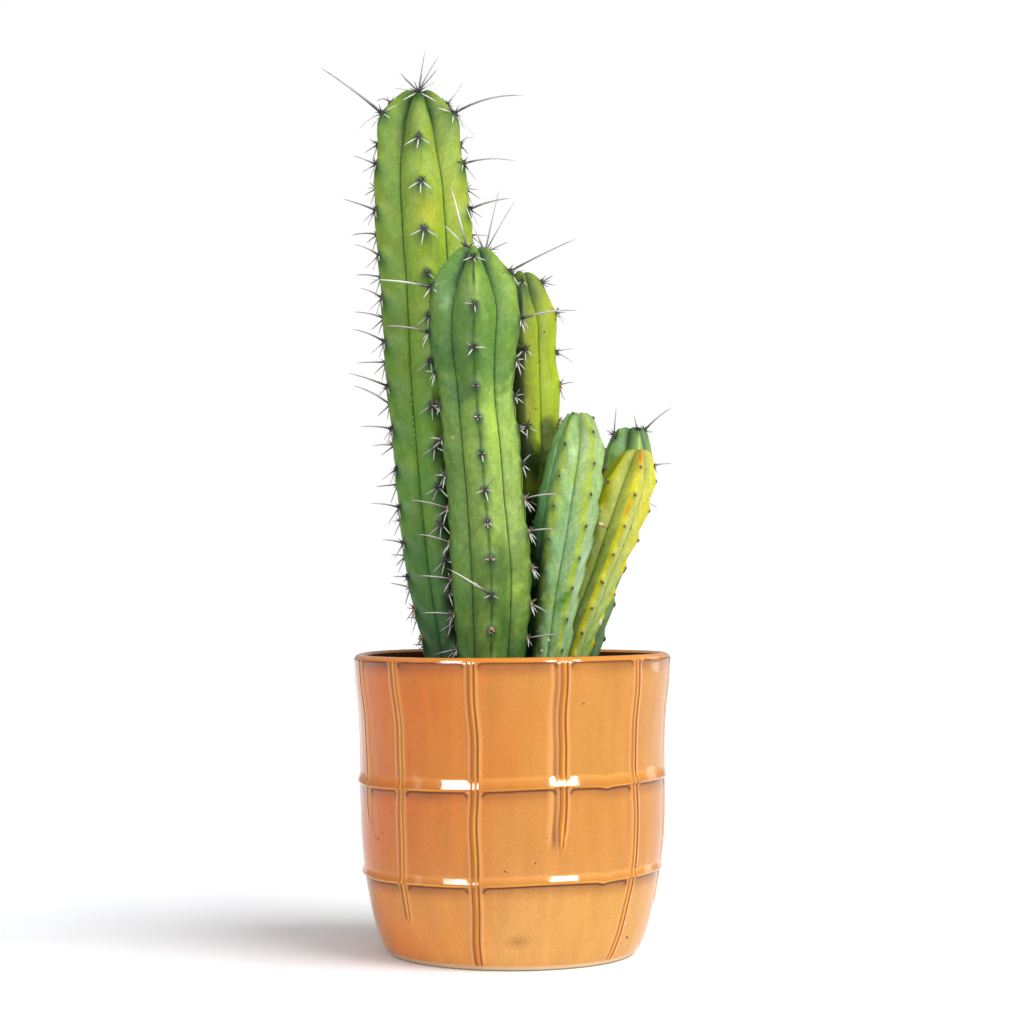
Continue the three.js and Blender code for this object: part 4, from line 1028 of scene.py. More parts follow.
# %% Spines drawn one by one
CROWN_SPINES = {
    "tall_stem": {
        (0, 0): [(2.9, -2, 17.5, 0.3, 0.42, 0.1), (9.3, 1, 16.5, 0.8, 0.36, 0.3), (-8.6, -1, 8.6, 0.2, 0.4, 0.1),
                 (-7, 3, 7, 0.2, 0.3, 0.2), (8.6, -1, 10, 0.2, 0.4, 0.1), (7.5, 3, 5, 0.3, 0.26, 0.3),
                 (-10.6, 1, 1.8, 0.3, 0.24, 0.6), (-2, 2, 5.6, 0.1, 0.3, 0.2), (-7.6, -4.5, -5.3, 0.2, 0.42, 1),
                 (-0.7, -4.2, -7.9, 0.2, 0.42, 1), (9.3, -4.5, -6, 0.2, 0.42, 1), (3.5, -4, 1.5, 0, 0.3, 0),
                 (-4, -4, 1, 0, 0.3, 0), (1.5, 3, 9, 0, 0.34, 0.1), (-1.5, -4, 3.5, 0, 0.3, 0)],
        (1, 0): [(31.7, -4, 7.2, 2.7, 0.5, 0.35), (-0.8, -4.5, -6.4, 0.1, 0.38, 1), (5, -3, -7.6, 0.2, 0.36, 0.4),
                 (9.2, 1, -10, 0.6, 0.2, 0.9), (-7.9, -4.5, 1.6, 0.2, 0.36, 1), (2.5, -1, 3.5, 0, 0.3, 0),
                 (-2.5, -3, 2.5, 0, 0.3, 0), (3.5, -3, -2.5, 0, 0.3, 0)],
        (5, 0): [(-27.3, -6, 19.4, 0.8, 0.62, 0.4), (4.2, -5, -3.4, 0.1, 0.38, 1), (7.9, -5.5, 3.2, 0.3, 0.36, 1),
                 (-4.8, -2, -6.8, 0.2, 0.36, 0.5), (-10.3, 0, -6.9, 1.2, 0.24, 0.7), (-1.5, -2, 4, 0, 0.3, 0),
                 (2.5, -3, -2.8, 0, 0.34, 0), (-3.5, -1, 0.5, 0, 0.3, 0)],
        (4, 0): [(-7.1, 3, 1.3, 2, 0.34, 0.1), (-4.5, 2, -3.7, 0.3, 0.3, 0.3), (-2, 1, 3.5, 0, 0.3, 0),
                 (-3, -1, -3.5, 0, 0.3, 0), (1.5, -1.5, 3, 0, 0.3, 0)],
        (2, 0): [(7.6, 3, 10.7, -0.8, 0.3, 0.5), (6, 2, -5, 0.2, 0.34, 0.1), (2.8, 1, 2.5, 0, 0.3, 0),
                 (3.5, 0, -1.5, 0, 0.3, 0), (-2, -1, 3, 0, 0.3, 0.3)],
        (3, 0): [(-3, 5, 9, 0.2, 0.34, 0.2), (4, 6, 8, 0.2, 0.34, 0.2), (0.5, 8, 5, 0.3, 0.34, 0.4)],
        (1, 1): [(23.8, -3, 0.6, 1.7, 0.42, 0.6), (5.7, -3, -7.8, 0.2, 0.4, 0.5), (-0.8, -4.5, -4.4, 0.1, 0.36, 1),
                 (-3.5, -4, 0.5, 0.1, 0.3, 0.2), (2, -2, 3, 0, 0.3, 0), (2.5, -3, -3, 0, 0.34, 0)],
        (2, 1): [(7.1, 2, 2.7, 2.1, 0.3, 0.5), (4, 1, -4.5, 0.2, 0.34, 0.1), (2.5, 0, 1.5, 0, 0.3, 0)],
    },
    "middle_stem": {
        (0, 0): [(-5, -3, -2.4, 0.2, 0.3, 0.9), (0.9, -3.5, -3.2, 0.1, 0.32, 0.9), (5.7, -3, -2.2, 0.2, 0.3, 0.9),
                 (-2.5, -2, 2.4, 0, 0.3, 0), (2.4, -2, 2.4, 0, 0.3, 0), (0.4, -2.5, 2.8, 0, 0.3, 0)],
        (2, 0): [(6.2, 1, 28, 0.4, 0.4, 0.25), (13.1, 3, 23.4, 0.5, 0.3, 0.35), (10.5, -1, 4.9, 0.3, 0.34, 0.25),
                 (7, 1, 0.4, 0.2, 0.22, 0.8), (-9.5, 2, 23.4, 0.4, 0.42, 0.95), (-2, -3, 2.8, 0, 0.34, 0),
                 (3.4, -2, 3, 0, 0.34, 0), (2.2, -3, -1.2, 0, 0.32, 0), (-3.4, -1, 3.6, 0, 0.3, 0.1)],
        (3, 0): [(-7.8, 4, 30.2, 0.5, 0.5, 0.95), (-7.2, 2, -0.3, 0.3, 0.28, 0.2), (-11.2, 6, 12, 0.6, 0.4, 0.95),
                 (-3, -2, 2.8, 0, 0.34, 0), (3.4, -2, 2.4, 0, 0.34, 0), (-2.8, -2.4, -1.2, 0, 0.32, 0),
                 (2, -3, -1, 0, 0.3, 0)],
        (1, 0): [(29.2, -3, 14, 0.5, 0.42, 0.3), (-0.9, -3, -3.6, 0.1, 0.34, 0.4), (7, -2.5, 0.2, 0.2, 0.34, 1),
                 (4.5, -2, -7, 0.2, 0.36, 0.9), (-3.2, -3, -0.8, 0.1, 0.3, 0.2), (1.5, -2, 3, 0, 0.32, 0),
                 (3.2, -3, -2.4, 0, 0.34, 0)],
        (0, 1): [(-4.9, -3, 0.2, 0.1, 0.3, 0.5), (0.6, -3.4, -4.4, 0.1, 0.36, 0.8), (-1.4, -2.6, 2.6, 0, 0.3, 0),
                 (2, -2.6, 1.2, 0, 0.3, 0), (-2.2, -3, -1.2, 0, 0.24, 0.1)],
        (0, 2): [(-3.7, -3, 2.2, 0.1, 0.32, 0.3), (5.8, -3, -0.4, 0.2, 0.36, 0.85), (0, -2.8, 2.2, 0, 0.3, 0),
                 (-2.6, -3.4, -4.1, 0.1, 0.38, 0.95), (2, -2.6, 1.6, 0, 0.28, 0)],
        (0, 3): [(-1.9, -2.4, 0.2, 0, 0.26, 0.3), (2, -2.4, -0.2, 0, 0.26, 0.4), (0.2, -2.4, -0.9, 0, 0.24, 0.1)],
        (0, 4): [(-2.2, -2.5, 0.4, 0, 0.28, 0.8), (1.8, -2.5, 0.5, 0, 0.28, 0.8), (-0.5, -2.5, -1.6, 0, 0.26, 0.8)],
        (0, 5): [(-2.3, -2.6, 0, 0.1, 0.28, 0.4), (2.3, -2.6, 0, 0.1, 0.28, 0.6), (0.7, -3, -4.2, 0.1, 0.34, 0.9),
                 (-0.8, -2.6, 1.6, 0, 0.28, 0)],
        (0, 6): [(4.4, -4, 5.3, 0.2, 0.32, 0.1), (1.7, -3.4, -5.7, 0.2, 0.34, 0.9), (-4, -3, -1.6, 0.1, 0.26, 0.8),
                 (4, -3, -0.4, 0.1, 0.26, 0.8), (-1.6, -2.6, 1.6, 0, 0.28, 0)],
        (0, 9): [(-19, -7, 11.5, 0.4, 0.42, 0.95), (-3.6, -3, -1.4, 0.1, 0.28, 0.7), (3.4, -3, -1.8, 0.1, 0.28, 0.7),
                 (0.4, -3, -3, 0, 0.28, 0.2), (1.6, -2.6, 1.8, 0, 0.3, 0)],
        (4, 0): [(-25.8, -8, 2.2, 0.8, 0.5, 0.9), (2.7, -4, -3, 0.2, 0.34, 1), (-3.6, -3.5, -5.8, 0.2, 0.36, 0.9),
                 (3.6, -4, 0.8, 0.2, 0.3, 0.7), (-2, -3, 3.4, 0, 0.32, 0), (1.4, -3, 2.6, 0, 0.3, 0),
                 (-2.8, -3.5, -1.8, 0, 0.34, 0)],
    },
    "back_stem": {
        (0, 0): [(-2.6, -3, -2.2, 0.1, 0.3, 0.9), (2.8, -3.2, -2.6, 0.1, 0.3, 0.9), (0.4, -2.4, 3, 0, 0.28, 0)],
        (1, 20): [(5.4, -1, 3.2, 0.1, 0.3, 0.1), (6.6, -1, -1.6, 0.1, 0.28, 0.2), (3, -2, -2.6, 0, 0.3, 0),
                  (1.8, -1, 3.2, 0, 0.28, 0), (4, -2, 0.6, 0, 0.3, 0)],
        (1, 21): [(8.6, -1, 1.4, 0.3, 0.26, 0.5), (8.2, -1, -5, 0.2, 0.28, 0.5), (2.4, -2, 1.6, 0, 0.26, 0)],
        (1, 1): [(7, -1, 1.3, 0.2, 0.3, 0.4), (3, -1, -7, -1.4, 0.32, 0.3), (2.2, -1, 2.8, 0, 0.3, 0),
                 (-2, -2.5, -1.5, 0, 0.3, 0.3)],
    },
    "rear_stem": {
        (0, 0): [(2.6, -2, 1.6, 0, 0.26, 0), (-1.6, -1, 6.6, 0.1, 0.3, 0.2), (3.6, 0, 0.2, 0.1, 0.26, 0)],
        (3, 0): [(1.1, 1, 12.5, 0.2, 0.32, 0.2), (-3.6, 0, 2, 0, 0.26, 0), (2.4, 0, 3, 0, 0.26, 0)],
        (4, 0): [(-4, -1, 1.2, 0, 0.3, 0), (-3, -2, -1.6, 0, 0.3, 0.1), (1.4, -2, 3, 0, 0.3, 0),
                 (-2.4, -1, 3.4, 0, 0.3, 0)],
    },
}
print("spines drawn one by one:", sum(len(spines) for crown in CROWN_SPINES.values() for spines in crown.values()))

# %% Dress the stems with spines
# Directions of the radials round an areole, clockwise from the tip of the stem. The first three lie low.
RADIAL_CLOCKS = (127, 180, 233, 58, 302, 12)
# Height below which clusters are old, with radials in less order, and the length of a spine, in mm,
# below which a dark one stays black to its tip.
OLD_BELOW = 210
SHORT_SPINE = 6.5
# Woolly old areoles, each with its lumps of pale wool: right, up and size.
WOOL = {("middle_stem", 0, 6): [(-0.8, 0.2, 0.8)],
        ("middle_stem", 0, 8): [(-0.9, -0.9, 0.9), (1, -0.8, 0.9), (0.3, 0.9, 0.6)],
        ("middle_stem", 0, 10): [(0, 0.5, 1.3), (-0.9, -0.3, 0.7), (0.9, -0.4, 0.7)],
        ("back_stem", 1, 1): [(0, -0.9, 1.1), (-0.8, 0, 0.8)], ("back_stem", 1, 22): [(0, 0, 1.2)],
        ("tall_stem", 5, 9): [(0.5, 0.9, 0.8)], ("tall_stem", 5, 12): [(0.4, 0.6, 0.7)]}


def dress_areole(cluster, name, rib, row, height):
    """Adds an areole's felt pad, its wool and its spines to the cluster."""
    stem = STEMS[name]
    angle = rib_angle(stem, rib)
    point, outward = skin_point(stem, angle, height)
    base = point + outward * (KNOB_RISE - 0.5)
    sideways = unit(np.cross([0, 0, 1.0], outward))
    up_rib = np.cross(outward, sideways)
    size = stem.get("rib_size", {}).get(rib, [1] * (row + 1))
    size = (size[row] if row < len(size) else 0.5) * (0.55 + 0.45 * float(smooth(125, 160, height)))
    tan = rng.uniform(0.3, 0.9) if height < stem["tan_below"] and rib else rng.uniform(0, 0.08)
    tan += stem.get("brown", 0)
    felt = stem["felt"] * (0.75 + 0.25 * size)
    add_pad(cluster, base + outward * 0.3, outward, felt, felt * 1.15, 0.8, 1, tan)
    for right, up, size_mm in WOOL.get((name, rib, row), []):
        lump = base + outward * 0.6 + sideways * right + up_rib * up
        add_pad(cluster, lump, outward, 0.7 * size_mm, 0.75 * size_mm, 0.8 * size_mm, 1, rng.uniform(0.7, 1.0), 0.3)
    if row >= stem.get("bare_from", row + 1):
        return

    # The small stems have three short bristles on each pad and no other spines.
    low_mm, high_mm = stem["radials"]
    if low_mm == 0:
        for clock in rng.uniform(0, 360, 3):
            turn = math.radians(clock)
            lean = unit(outward * 0.9 + sideways * math.sin(turn) + up_rib * math.cos(turn))
            add_spine(cluster, base, base + lean * rng.uniform(0.6, 1.0) * high_mm, 0.16, lean * 0, 0.1,
                      rings=5, sides=5)
        return

    drawn = CROWN_SPINES.get(name, {}).get((rib, row))
    if drawn:
        for right, back, up, bow, radius, pale in drawn:
            tip = point + np.array([right, back, up])
            short = np.linalg.norm(tip - point) < SHORT_SPINE and pale < 0.3
            add_spine(cluster, base, tip, radius, np.array([0, 0, bow]), pale, wear=0.2 if short else 1.0)
    else:
        # One central spine, a little above level, then the radials.
        lengths = stem["centrals"][rib]
        length = lengths[row] if row < len(lengths) else 6
        lift = math.radians(stem["lifts"].get((rib, row), rng.uniform(-4, 14)))
        away = np.array([math.sin(angle), -math.cos(angle), 0])
        central = unit(away * math.cos(lift) + np.array([0, 0, 1]) * math.sin(lift))
        bow = up_rib * length * rng.uniform(0.01, 0.06) + sideways * length * rng.uniform(-0.03, 0.03)
        add_spine(cluster, base, base + central * length, 0.34 + 0.007 * length, bow, rng.uniform(0.2, 0.65))
        thick = 0.4 if name == "tall_stem" else 0.34
        for clock in RADIAL_CLOCKS:
            low = abs(clock - 180) < 70
            if row > 2 and rng.uniform() < (0.12 if low else 0.5):
                continue
            jitter = 9 if height > OLD_BELOW else 24
            turn = math.radians(clock + rng.uniform(-jitter, jitter))
            tilt = math.radians(rng.uniform(64, 76) if low else rng.uniform(40, 66))
            flat = sideways * math.sin(turn) + up_rib * math.cos(turn)
            heading = outward * math.cos(tilt) + flat * math.sin(tilt)
            reach_mm = size * (low_mm * rng.uniform(0.85, 1.12) if low else high_mm * rng.uniform(0.7, 1.35))
            pale = rng.uniform(0.6, 1.0) if low else rng.uniform(0.0, 0.4)
            add_spine(cluster, base, base + heading * reach_mm, (thick if low else 0.28) * (0.6 + 0.4 * size),
                      outward * reach_mm * 0.03, pale, rings=7, wear=1.0 if low else 0.4)

    # Short black points that stand in the felt.
    for clock in rng.uniform(0, 360, 4):
        turn = math.radians(clock)
        lean = unit(outward + 1.3 * (sideways * math.sin(turn) + up_rib * math.cos(turn)))
        point_mm = rng.uniform(1.8, 3.2) * (0.5 + 0.5 * size)
        add_spine(cluster, base, base + lean * point_mm, 0.36, lean * 0, 0, rings=4, sides=5, wear=0.15)


for stem_name, stem in STEMS.items():
    cluster = Cluster()
    for rib, row, height in areoles(stem):
        dress_areole(cluster, stem_name, rib, row, height)
    piece = mesh_piece(stem_name + "_spines", np.vstack(cluster.points), cluster.faces, [spine_horn, areole_felt],
                       {"reach": np.concatenate(cluster.reach), "pale": np.concatenate(cluster.pale)}, cluster.slots)
    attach(piece, "root")
    nodes = [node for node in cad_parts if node.startswith(stem_name + "_spines_")]
    if nodes:
        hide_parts(*nodes)
    print(piece.name, triangles(piece), "triangles, for", len(nodes), "nodes")

# %% [markdown]
# ### Healed scars
#
# A few dots and scars of cork break up the skin. Each is a low dome of its own, because a scar
# stands proud of the skin and catches the light on its rim.

# %% Scars
# Stem, angle, height, half width, half height and rise in mm, and age from 0, brown, to 1, pale.
SCARS = [
    ("middle_stem", -51, 225.5, 0.9, 0.8, 0.4, 0.65), ("middle_stem", -27, 162, 1.1, 1.0, 0.6, 0.85),
    ("middle_stem", 23, 244.5, 0.35, 1.4, 0.15, 0.8), ("middle_stem", -18, 199, 0.4, 0.5, 0.2, 0.5),
    ("tall_stem", 12, 336, 0.35, 0.35, 0.15, 0), ("tall_stem", -12, 297, 0.4, 0.4, 0.15, 0.2),
    ("tall_stem", -25, 355, 0.35, 0.35, 0.15, 1), ("tall_stem", 70, 290, 0.5, 0.4, 0.2, 0.3),
    ("back_stem", 28, 241.5, 0.6, 0.5, 0.2, 0.1), ("back_stem", 55, 277, 0.45, 0.4, 0.2, 0.1),
    ("back_stem", 21, 274, 0.5, 0.5, 0.2, 0.3), ("back_stem", 76, 283, 0.5, 0.4, 0.2, 0.2),
    ("back_stem", 38, 263, 0.45, 0.35, 0.2, 0.1), ("back_stem", 30, 262, 0.3, 0.3, 0.15, 0.1),
    ("front_stem", 8, 137.5, 0.9, 0.7, 0.4, 1), ("front_stem", -8, 133, 0.6, 0.5, 0.3, 1),
    ("leaning_stem", -24, 189, 1.3, 0.8, 0.5, 0.9), ("leaning_stem", -17, 188.2, 1.2, 0.6, 0.5, 0.55),
    ("leaning_stem", -10, 187.4, 0.9, 0.7, 0.4, 0.2), ("leaning_stem", 53, 187.5, 0.45, 1.4, 0.2, 0.05),
    ("leaning_stem", 45, 179.5, 0.4, 0.6, 0.2, 0.1), ("leaning_stem", -2, 179.5, 0.45, 0.4, 0.2, 0.1),
    ("leaning_stem", 47, 191.5, 0.3, 0.3, 0.15, 0.1), ("leaning_stem", 75, 145.5, 0.9, 2.2, 0.4, 0.95),
    ("leaning_stem", 75, 157.5, 0.7, 0.8, 0.4, 0.4),
    *(("tall_stem", -29.4, z, 0.28, 0.28, 0.12, 1) for z in (248.5, 245, 242, 236.5, 234, 231, 228.5)),
    ("tall_stem", 205, 250, 1.2, 0.9, 0.4, 0.6), ("back_stem", 160, 220, 1.0, 1.4, 0.4, 0.5),
]
cluster = Cluster()
for stem_name, angle, height, wide, high, rise, age in SCARS:
    point, outward = skin_point(STEMS[stem_name], math.radians(angle), height)
    add_pad(cluster, point - outward * 0.15, outward, wide, high, rise + 0.25, 0, age, 0.12)
scars = mesh_piece("skin_scars", np.vstack(cluster.points), cluster.faces, [healed_cork],
                   {"pale": np.concatenate(cluster.pale)})
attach(scars, "root")
print("scars", triangles(scars), "triangles")

# %% [markdown]
# ## The pot
#
# The pot was thrown or pressed as a plain cylinder with a rounded foot. Slip was then trailed over
# it: two hoops right round, and lines that run down from the rim and stop at different heights in a
# drip. Modelling the relief as one height field over the wall lets the lines and hoops melt
# into each other, as wet clay does, and the glaze can read the same distances. The mesh's columns
# follow the lines and its rows follow the hoops, so every edge of the relief stays crisp.

# %% The pot's numbers
# In mm. The lip is rounded over LIP_HEIGHT, and the relief ends on it at LIP_LINE. The outline is the
# plain wall, as height and radius.
POT_HEIGHT = 131.5
POT_WALL = 5
POT_FLOOR = 7
INNER_CORNER = 12
LIP_HEIGHT = 3
LIP_LINE = 129.6
POT_OUTLINE = [(0, 53.8), (3, 56.4), (7, 58.3), (14, 60.7), (24, 63), (38, 65.4), (52, 66.9), (66, 67.4),
               (92, 67.3), (106, 67.9), (120, 69.4), (131.5, 70)]
# Each hoop: height of its lip, how far it stands out, and how long the slope above it is. The lip
# turns under within UNDERCUT. Above ABOVE_HOOPS lies the upper row of panels.
HOOPS = [(77.2, 1.15, 4.4), (37.4, 1.25, 3.1)]
UNDERCUT = 1.0
ABOVE_HOOPS = 78.5
# Each trailed line: its lower end, whether it ends in a point, and the places it runs through as
# (height, angle from the front towards the right), from the rim down.
TRAILS = [
    (57, True, [(127, -69.6), (77, -66.5), (57, -65.8)]),
    (20, False, [(127, -46.1), (77, -43.6), (37, -44.8), (20, -44.4)]),
    (2, False, [(127, -14.2), (77, -13.2), (37, -13.5), (3, -13.9)]),
    (48, True, [(127, 18.0), (95, 18.4), (77, 18.2), (48, 17.8)]),
    (2, False, [(127, 50), (84, 50.1), (76, 50.8), (42, 51.2), (32, 50.6), (3, 45.8)]),
    (24, False, [(127, 84), (77, 83), (24, 84)]), (2, False, [(127, 117), (60, 115.6), (3, 117)]),
    (56, True, [(127, 149), (56, 150)]), (2, False, [(127, 182), (70, 183.4), (3, 182)]),
    (30, False, [(127, 214), (60, 213), (30, 214)]), (2, False, [(127, 244), (60, 243), (3, 245)]),
    (62, True, [(127, 268), (62, 268.6)]),
]
# Across a line: half width of its sunken channel, then where the burr beside it ends and how high
# that is. PANEL_CORNER: radius of the corners between lines and hoops.
CHANNEL_HALF = 1.25
BURR_EDGE = 2.7
BURR_RISE = 0.42
PANEL_CORNER = 3.0


def wall_radius(height):
    return along(POT_OUTLINE, height)[..., 0]


def out_of_round(angle, height):
    """How far the hand-made wall strays from a circle."""
    return 0.18 * np.sin(2 * angle + height / 40)


def trail_angles(height):
    """Angle of every trailed line at a height, in radians, one row for each line."""
    angles = [np.interp(height, *np.array(sorted(places)).T) for _, _, places in TRAILS]
    wander = [0.25 * np.sin(height / 9 + 2 * number) + 0.12 * np.sin(height / 4 + number)
              for number in range(len(TRAILS))]
    return np.radians(np.array(angles) + np.array(wander))


def hoop_wave(angle, row):
    """How far a hoop's line rises above its mean height: the whole grid follows it near the hoops."""
    wave = 1.4 * np.sin(angle) + 0.3 * np.sin(3 * angle + 1) + 0.2 * np.sin(7 * angle)
    wave = wave - 0.7 * np.exp(-((angle - math.radians(36)) / 0.04) ** 2)
    near = sum(np.exp(-((row - hoop[0]) / 14) ** 2) for hoop in HOOPS)
    rim = 0.65 * np.sin(angle) + 1.1 * np.exp((np.cos(angle + 2.3) - 1) / 0.35)
    return wave * near + rim * smooth(60, 131, row)


print("trailed lines", len(TRAILS), "hoops", len(HOOPS))

# %% Distances on the wall
# A distance in mm beyond every mark.
FAR = 99.0


def trail_distances(angle, row):
    """Distance to the nearest trailed line, the same with its sign, and the line's width from 0 to 1."""
    nearest, sign, width = np.full(angle.shape, FAR), np.zeros(angle.shape), np.ones(angle.shape)
    for number, (end, pointed, _) in enumerate(TRAILS):
        turn = (angle - trail_angles(row)[number] + math.pi) % (2 * math.pi) - math.pi
        across = turn * wall_radius(row)
        wide = np.clip((row - end) / 12, 0.03, 1) ** 0.6 if pointed else 1.0
        past_end = np.clip(end + (0 if pointed else CHANNEL_HALF) - row, 0, None)
        distance = np.hypot(across, past_end)
        closer = distance < nearest
        nearest, sign, width = (np.where(closer, distance, nearest), np.where(closer, across, sign),
                                np.where(closer, wide * np.ones(angle.shape), width))
    return nearest, sign, width


def panel_inset(distance, width, row):
    """How far in from a panel's edge a point lies. The panel's upper corners are rounded."""
    edges = [LIP_LINE, *(hoop[0] - UNDERCUT for hoop in HOOPS)]
    below = np.min([np.where(row < edge, edge - row, FAR) for edge in edges], 0)
    side = distance - BURR_EDGE * width
    inset = PANEL_CORNER - np.hypot(np.clip(PANEL_CORNER - side, 0, None), np.clip(PANEL_CORNER - below, 0, None))
    return inset, side, below


def hoop_rise(row):
    """A ledge: an even slope down from the wall, then a short rounded lip that turns under."""
    rise = np.zeros(row.shape)
    for hoop, out, slope in HOOPS:
        ramp = 1 - (row - hoop) / slope
        ramp = 0.5 * (ramp + np.sqrt(ramp ** 2 + 0.012))
        under = np.sqrt(np.clip(1 - ((hoop - row) / UNDERCUT) ** 2, 0, 1))
        rise += out * np.where(row >= hoop, ramp * smooth(slope + 3, slope, row - hoop), under)
    return rise


# %% The relief as a height field
def relief(angle, row):
    """How far the trailed lines, hoops and lip stand out from the plain wall, in mm."""
    distance, _, width = trail_distances(angle, row)
    inset, _, _ = panel_inset(distance, width, row)
    scaled = distance / (CHANNEL_HALF * width)
    size = np.sqrt(width)
    burr = BURR_RISE * size * smooth(1.0, -0.5, inset)
    channel = size * (0.2 * np.exp(-(scaled / 0.55) ** 2) - 0.26 * smooth(1.25, 0.95, scaled))
    hoop = hoop_rise(row)
    raised = (burr ** 3 + hoop ** 3) ** (1 / 3) + channel * (1 - 0.7 * np.clip(hoop, 0, 1))
    lip = 0.3 * smooth(LIP_LINE - 0.2, LIP_LINE + 0.9, row)
    return raised * smooth(LIP_LINE + 0.9, LIP_LINE - 0.3, row) * smooth(0.5, 3, row) + lip


sample = np.array([trail_angles(100.0)[2], math.radians(3)])
print("relief on a trailed line and beside it, mm:", np.round(relief(sample, np.array([100.0, 100.0])), 2))

# %% [markdown]
# ### Honey glaze over stoneware
#
# The finish is a transparent iron glaze over pale stoneware, fired glossy. Where it runs thin over
# a raised edge the clay shines through as pale orange, and where it pools, in channels and corners,
# it turns gold, then red-brown. The pale orange on the slopes above the hoops is partly painted
# highlight, and the red-brown under the rim and under the hoops is partly painted shade. Glass has an
# IOR of 1.5 and almost no roughness. Iron specks here and there and a line of bare clay at the foot
# show that it was fired, not painted. Where the glaze is thin or thick follows the relief, so these
# masks use the same distances as the shape.

# %% Masks over the glaze
# Number of the line whose channel is wide: dark glaze fills its left half, and its burr stands
# further off.
WIDE_CHANNEL = 3


def glaze_marks(angle, row, outside):
    """Masks over a grid of angles and rows. They are 0 where outside is false."""
    distance, sign, width = trail_distances(angle, row)
    inset, side, below = panel_inset(distance, width, row)
    scaled = distance / (CHANNEL_HALF * width)
    hoop = hoop_rise(row)
    on_hoop = np.clip(hoop * 1.3, 0, 1)
    # body: the wall below the lip. slope: above a hoop's lip, with up_slope at its upper end and
    # foot_slope at its foot. gold_rim: just under a hoop's lip. ledge: along a panel's upper edge.
    body = (row < LIP_LINE) * smooth(0.08, 0.3, width)
    slope = sum(smooth(-0.6, 0.1, row - at) * smooth(long + 1.0, long - 1.5, row - at) for at, _, long in HOOPS)
    gold_rim = sum(np.exp(-((row - at + 0.4) / 0.28) ** 2) for at, _, _ in HOOPS) * smooth(2.4, 3.4, distance)
    ledge = np.exp(-((inset - 0.35) / 0.5) ** 2) * smooth(-3.2, -0.6, side - below) * (below < 6)
    ledge = np.where(row > ABOVE_HOOPS, 0.8 * ledge, ledge)
    up_slope = np.max([np.where(row > at - 0.3, 1 - np.abs((row - at) / long - 0.85) / 0.35, 0)
                       for at, _, long in HOOPS], 0)
    foot_slope = sum(smooth(-0.9, -0.3, row - at) * smooth(0.6 * long, 0.1 * long, row - at) for at, _, long in HOOPS)
    trail_at = trail_angles(row)[WIDE_CHANNEL]
    wide_one = (np.abs((angle - trail_at + math.pi) % (2 * math.pi) - math.pi) < 0.16) * smooth(49, 58, row)
    left_fill = wide_one * smooth(-4.3, -3.6, sign) * smooth(-1.1, -1.6, sign)
    left_burr = wide_one * smooth(-6.6, -5.6, sign) * smooth(-4.1, -4.7, sign)
    blotch = np.exp(-((angle - math.radians(2)) * 60 / 4) ** 2 - ((row - 13.5) / 2) ** 2)
    marks = {
        "stripe": np.maximum(smooth(1.15, 0.85, scaled) * body * (1 - 0.5 * on_hoop), 0.45 * foot_slope),
        "gold": np.maximum(np.exp(-((sign - 0.3 * width) / (0.48 * width)) ** 2) * (distance < 2) * body, gold_rim),
        "line": np.maximum(np.exp(-((scaled - 1.12) / 0.22) ** 2) * body * (1 - 0.6 * slope), ledge),
        # thin: glaze that runs thin, pale over the burrs and in a band on each hoop's slope; that band is partly
        # painted highlight.
        "thin": np.maximum.reduce([0.25 * slope, 0.75 * np.clip(up_slope, 0, 1) * (1 - foot_slope), left_burr,
                                   0.65 * smooth(1.2, 1.5, scaled) * smooth(0.9, -0.1, side) * body]),
        # pool_and_shade: thick glaze in the wide channel and in a blotch, and a darker band under the lip and under
        # each hoop, which is partly painted shade.
        "pool_and_shade": np.maximum.reduce([left_fill, 0.65 * blotch, 0.75 * smooth(6.5, 0.4, below) * (row < ABOVE_HOOPS),
                                   smooth(7.5, 0.5, below) * (row > ABOVE_HOOPS + 0.5)]) * (1 - slope),
        "edge": smooth(9, 1, inset),
        "middle": smooth(34, 40, row) * smooth(82, 76, row),
        "lip": smooth(LIP_LINE - 0.4, LIP_LINE + 0.4, row),
        "bare": smooth(1.5, 0.9, row),
        "side": np.sin(angle),
    }
    return {label: np.where(outside, value, 0.0) for label, value in marks.items()}


print("masks over the glaze:", sorted(glaze_marks(sample, np.array([100.0, 100.0]), np.array([True, True]))))

# %% Glaze material
honey_glaze, tree, shader = new_material("honey_glaze", {"IOR": 1.5, "Specular IOR Level": 0.4})
place = add(tree, "TexCoord").outputs["Object"]
mark = {label: add(tree, "Attribute", attribute_name=label).outputs["Fac"] for label in
        ("stripe", "gold", "line", "thin", "pool_and_shade", "edge", "middle", "lip", "bare", "side")}
height = add(tree, "SeparateXYZ", {0: place}).outputs[2]

# The glaze is redder and darker on the left and a little darker on the right, which is painted
# shade by side; it is thicker, so redder, between the hoops, and thinner, so paler and bluer, towards
# the foot, which is partly painted highlight.
# A tint of four numbers multiplies the colour, so it is a plain factor and not a screen colour.
cloud = add(tree, "TexNoise", {"Vector": place, "Scale": 28.0, "Detail": 3.0, "Roughness": 0.5})
cloud_share = add(tree, "MapRange", {0: cloud, 1: 0.3, 2: 0.7, 3: -0.18, 4: 0.18})
side_share = add(tree, "MapRange", {0: mark["side"], 1: -0.8, 2: 0.3})
low_share = add(tree, "MapRange", {0: height, 1: 0.1, 2: 0.0, 4: 0.4})
share = add(tree, "Math", {0: side_share, 1: cloud_share}, **PLUS)
share = add(tree, "Math", {0: share, 1: low_share}, use_clamp=True, **PLUS)
glaze = add(tree, "Mix", {0: share, 6: "#D66C10", 7: "#C88938"}, **COLOURS)
right_share = add(tree, "MapRange", {0: mark["side"], 1: 0.2, 2: 0.7})
glaze = add(tree, "Mix", {0: right_share, 6: glaze, 7: (0.93, 0.92, 0.8, 1.0)}, **SHADES)
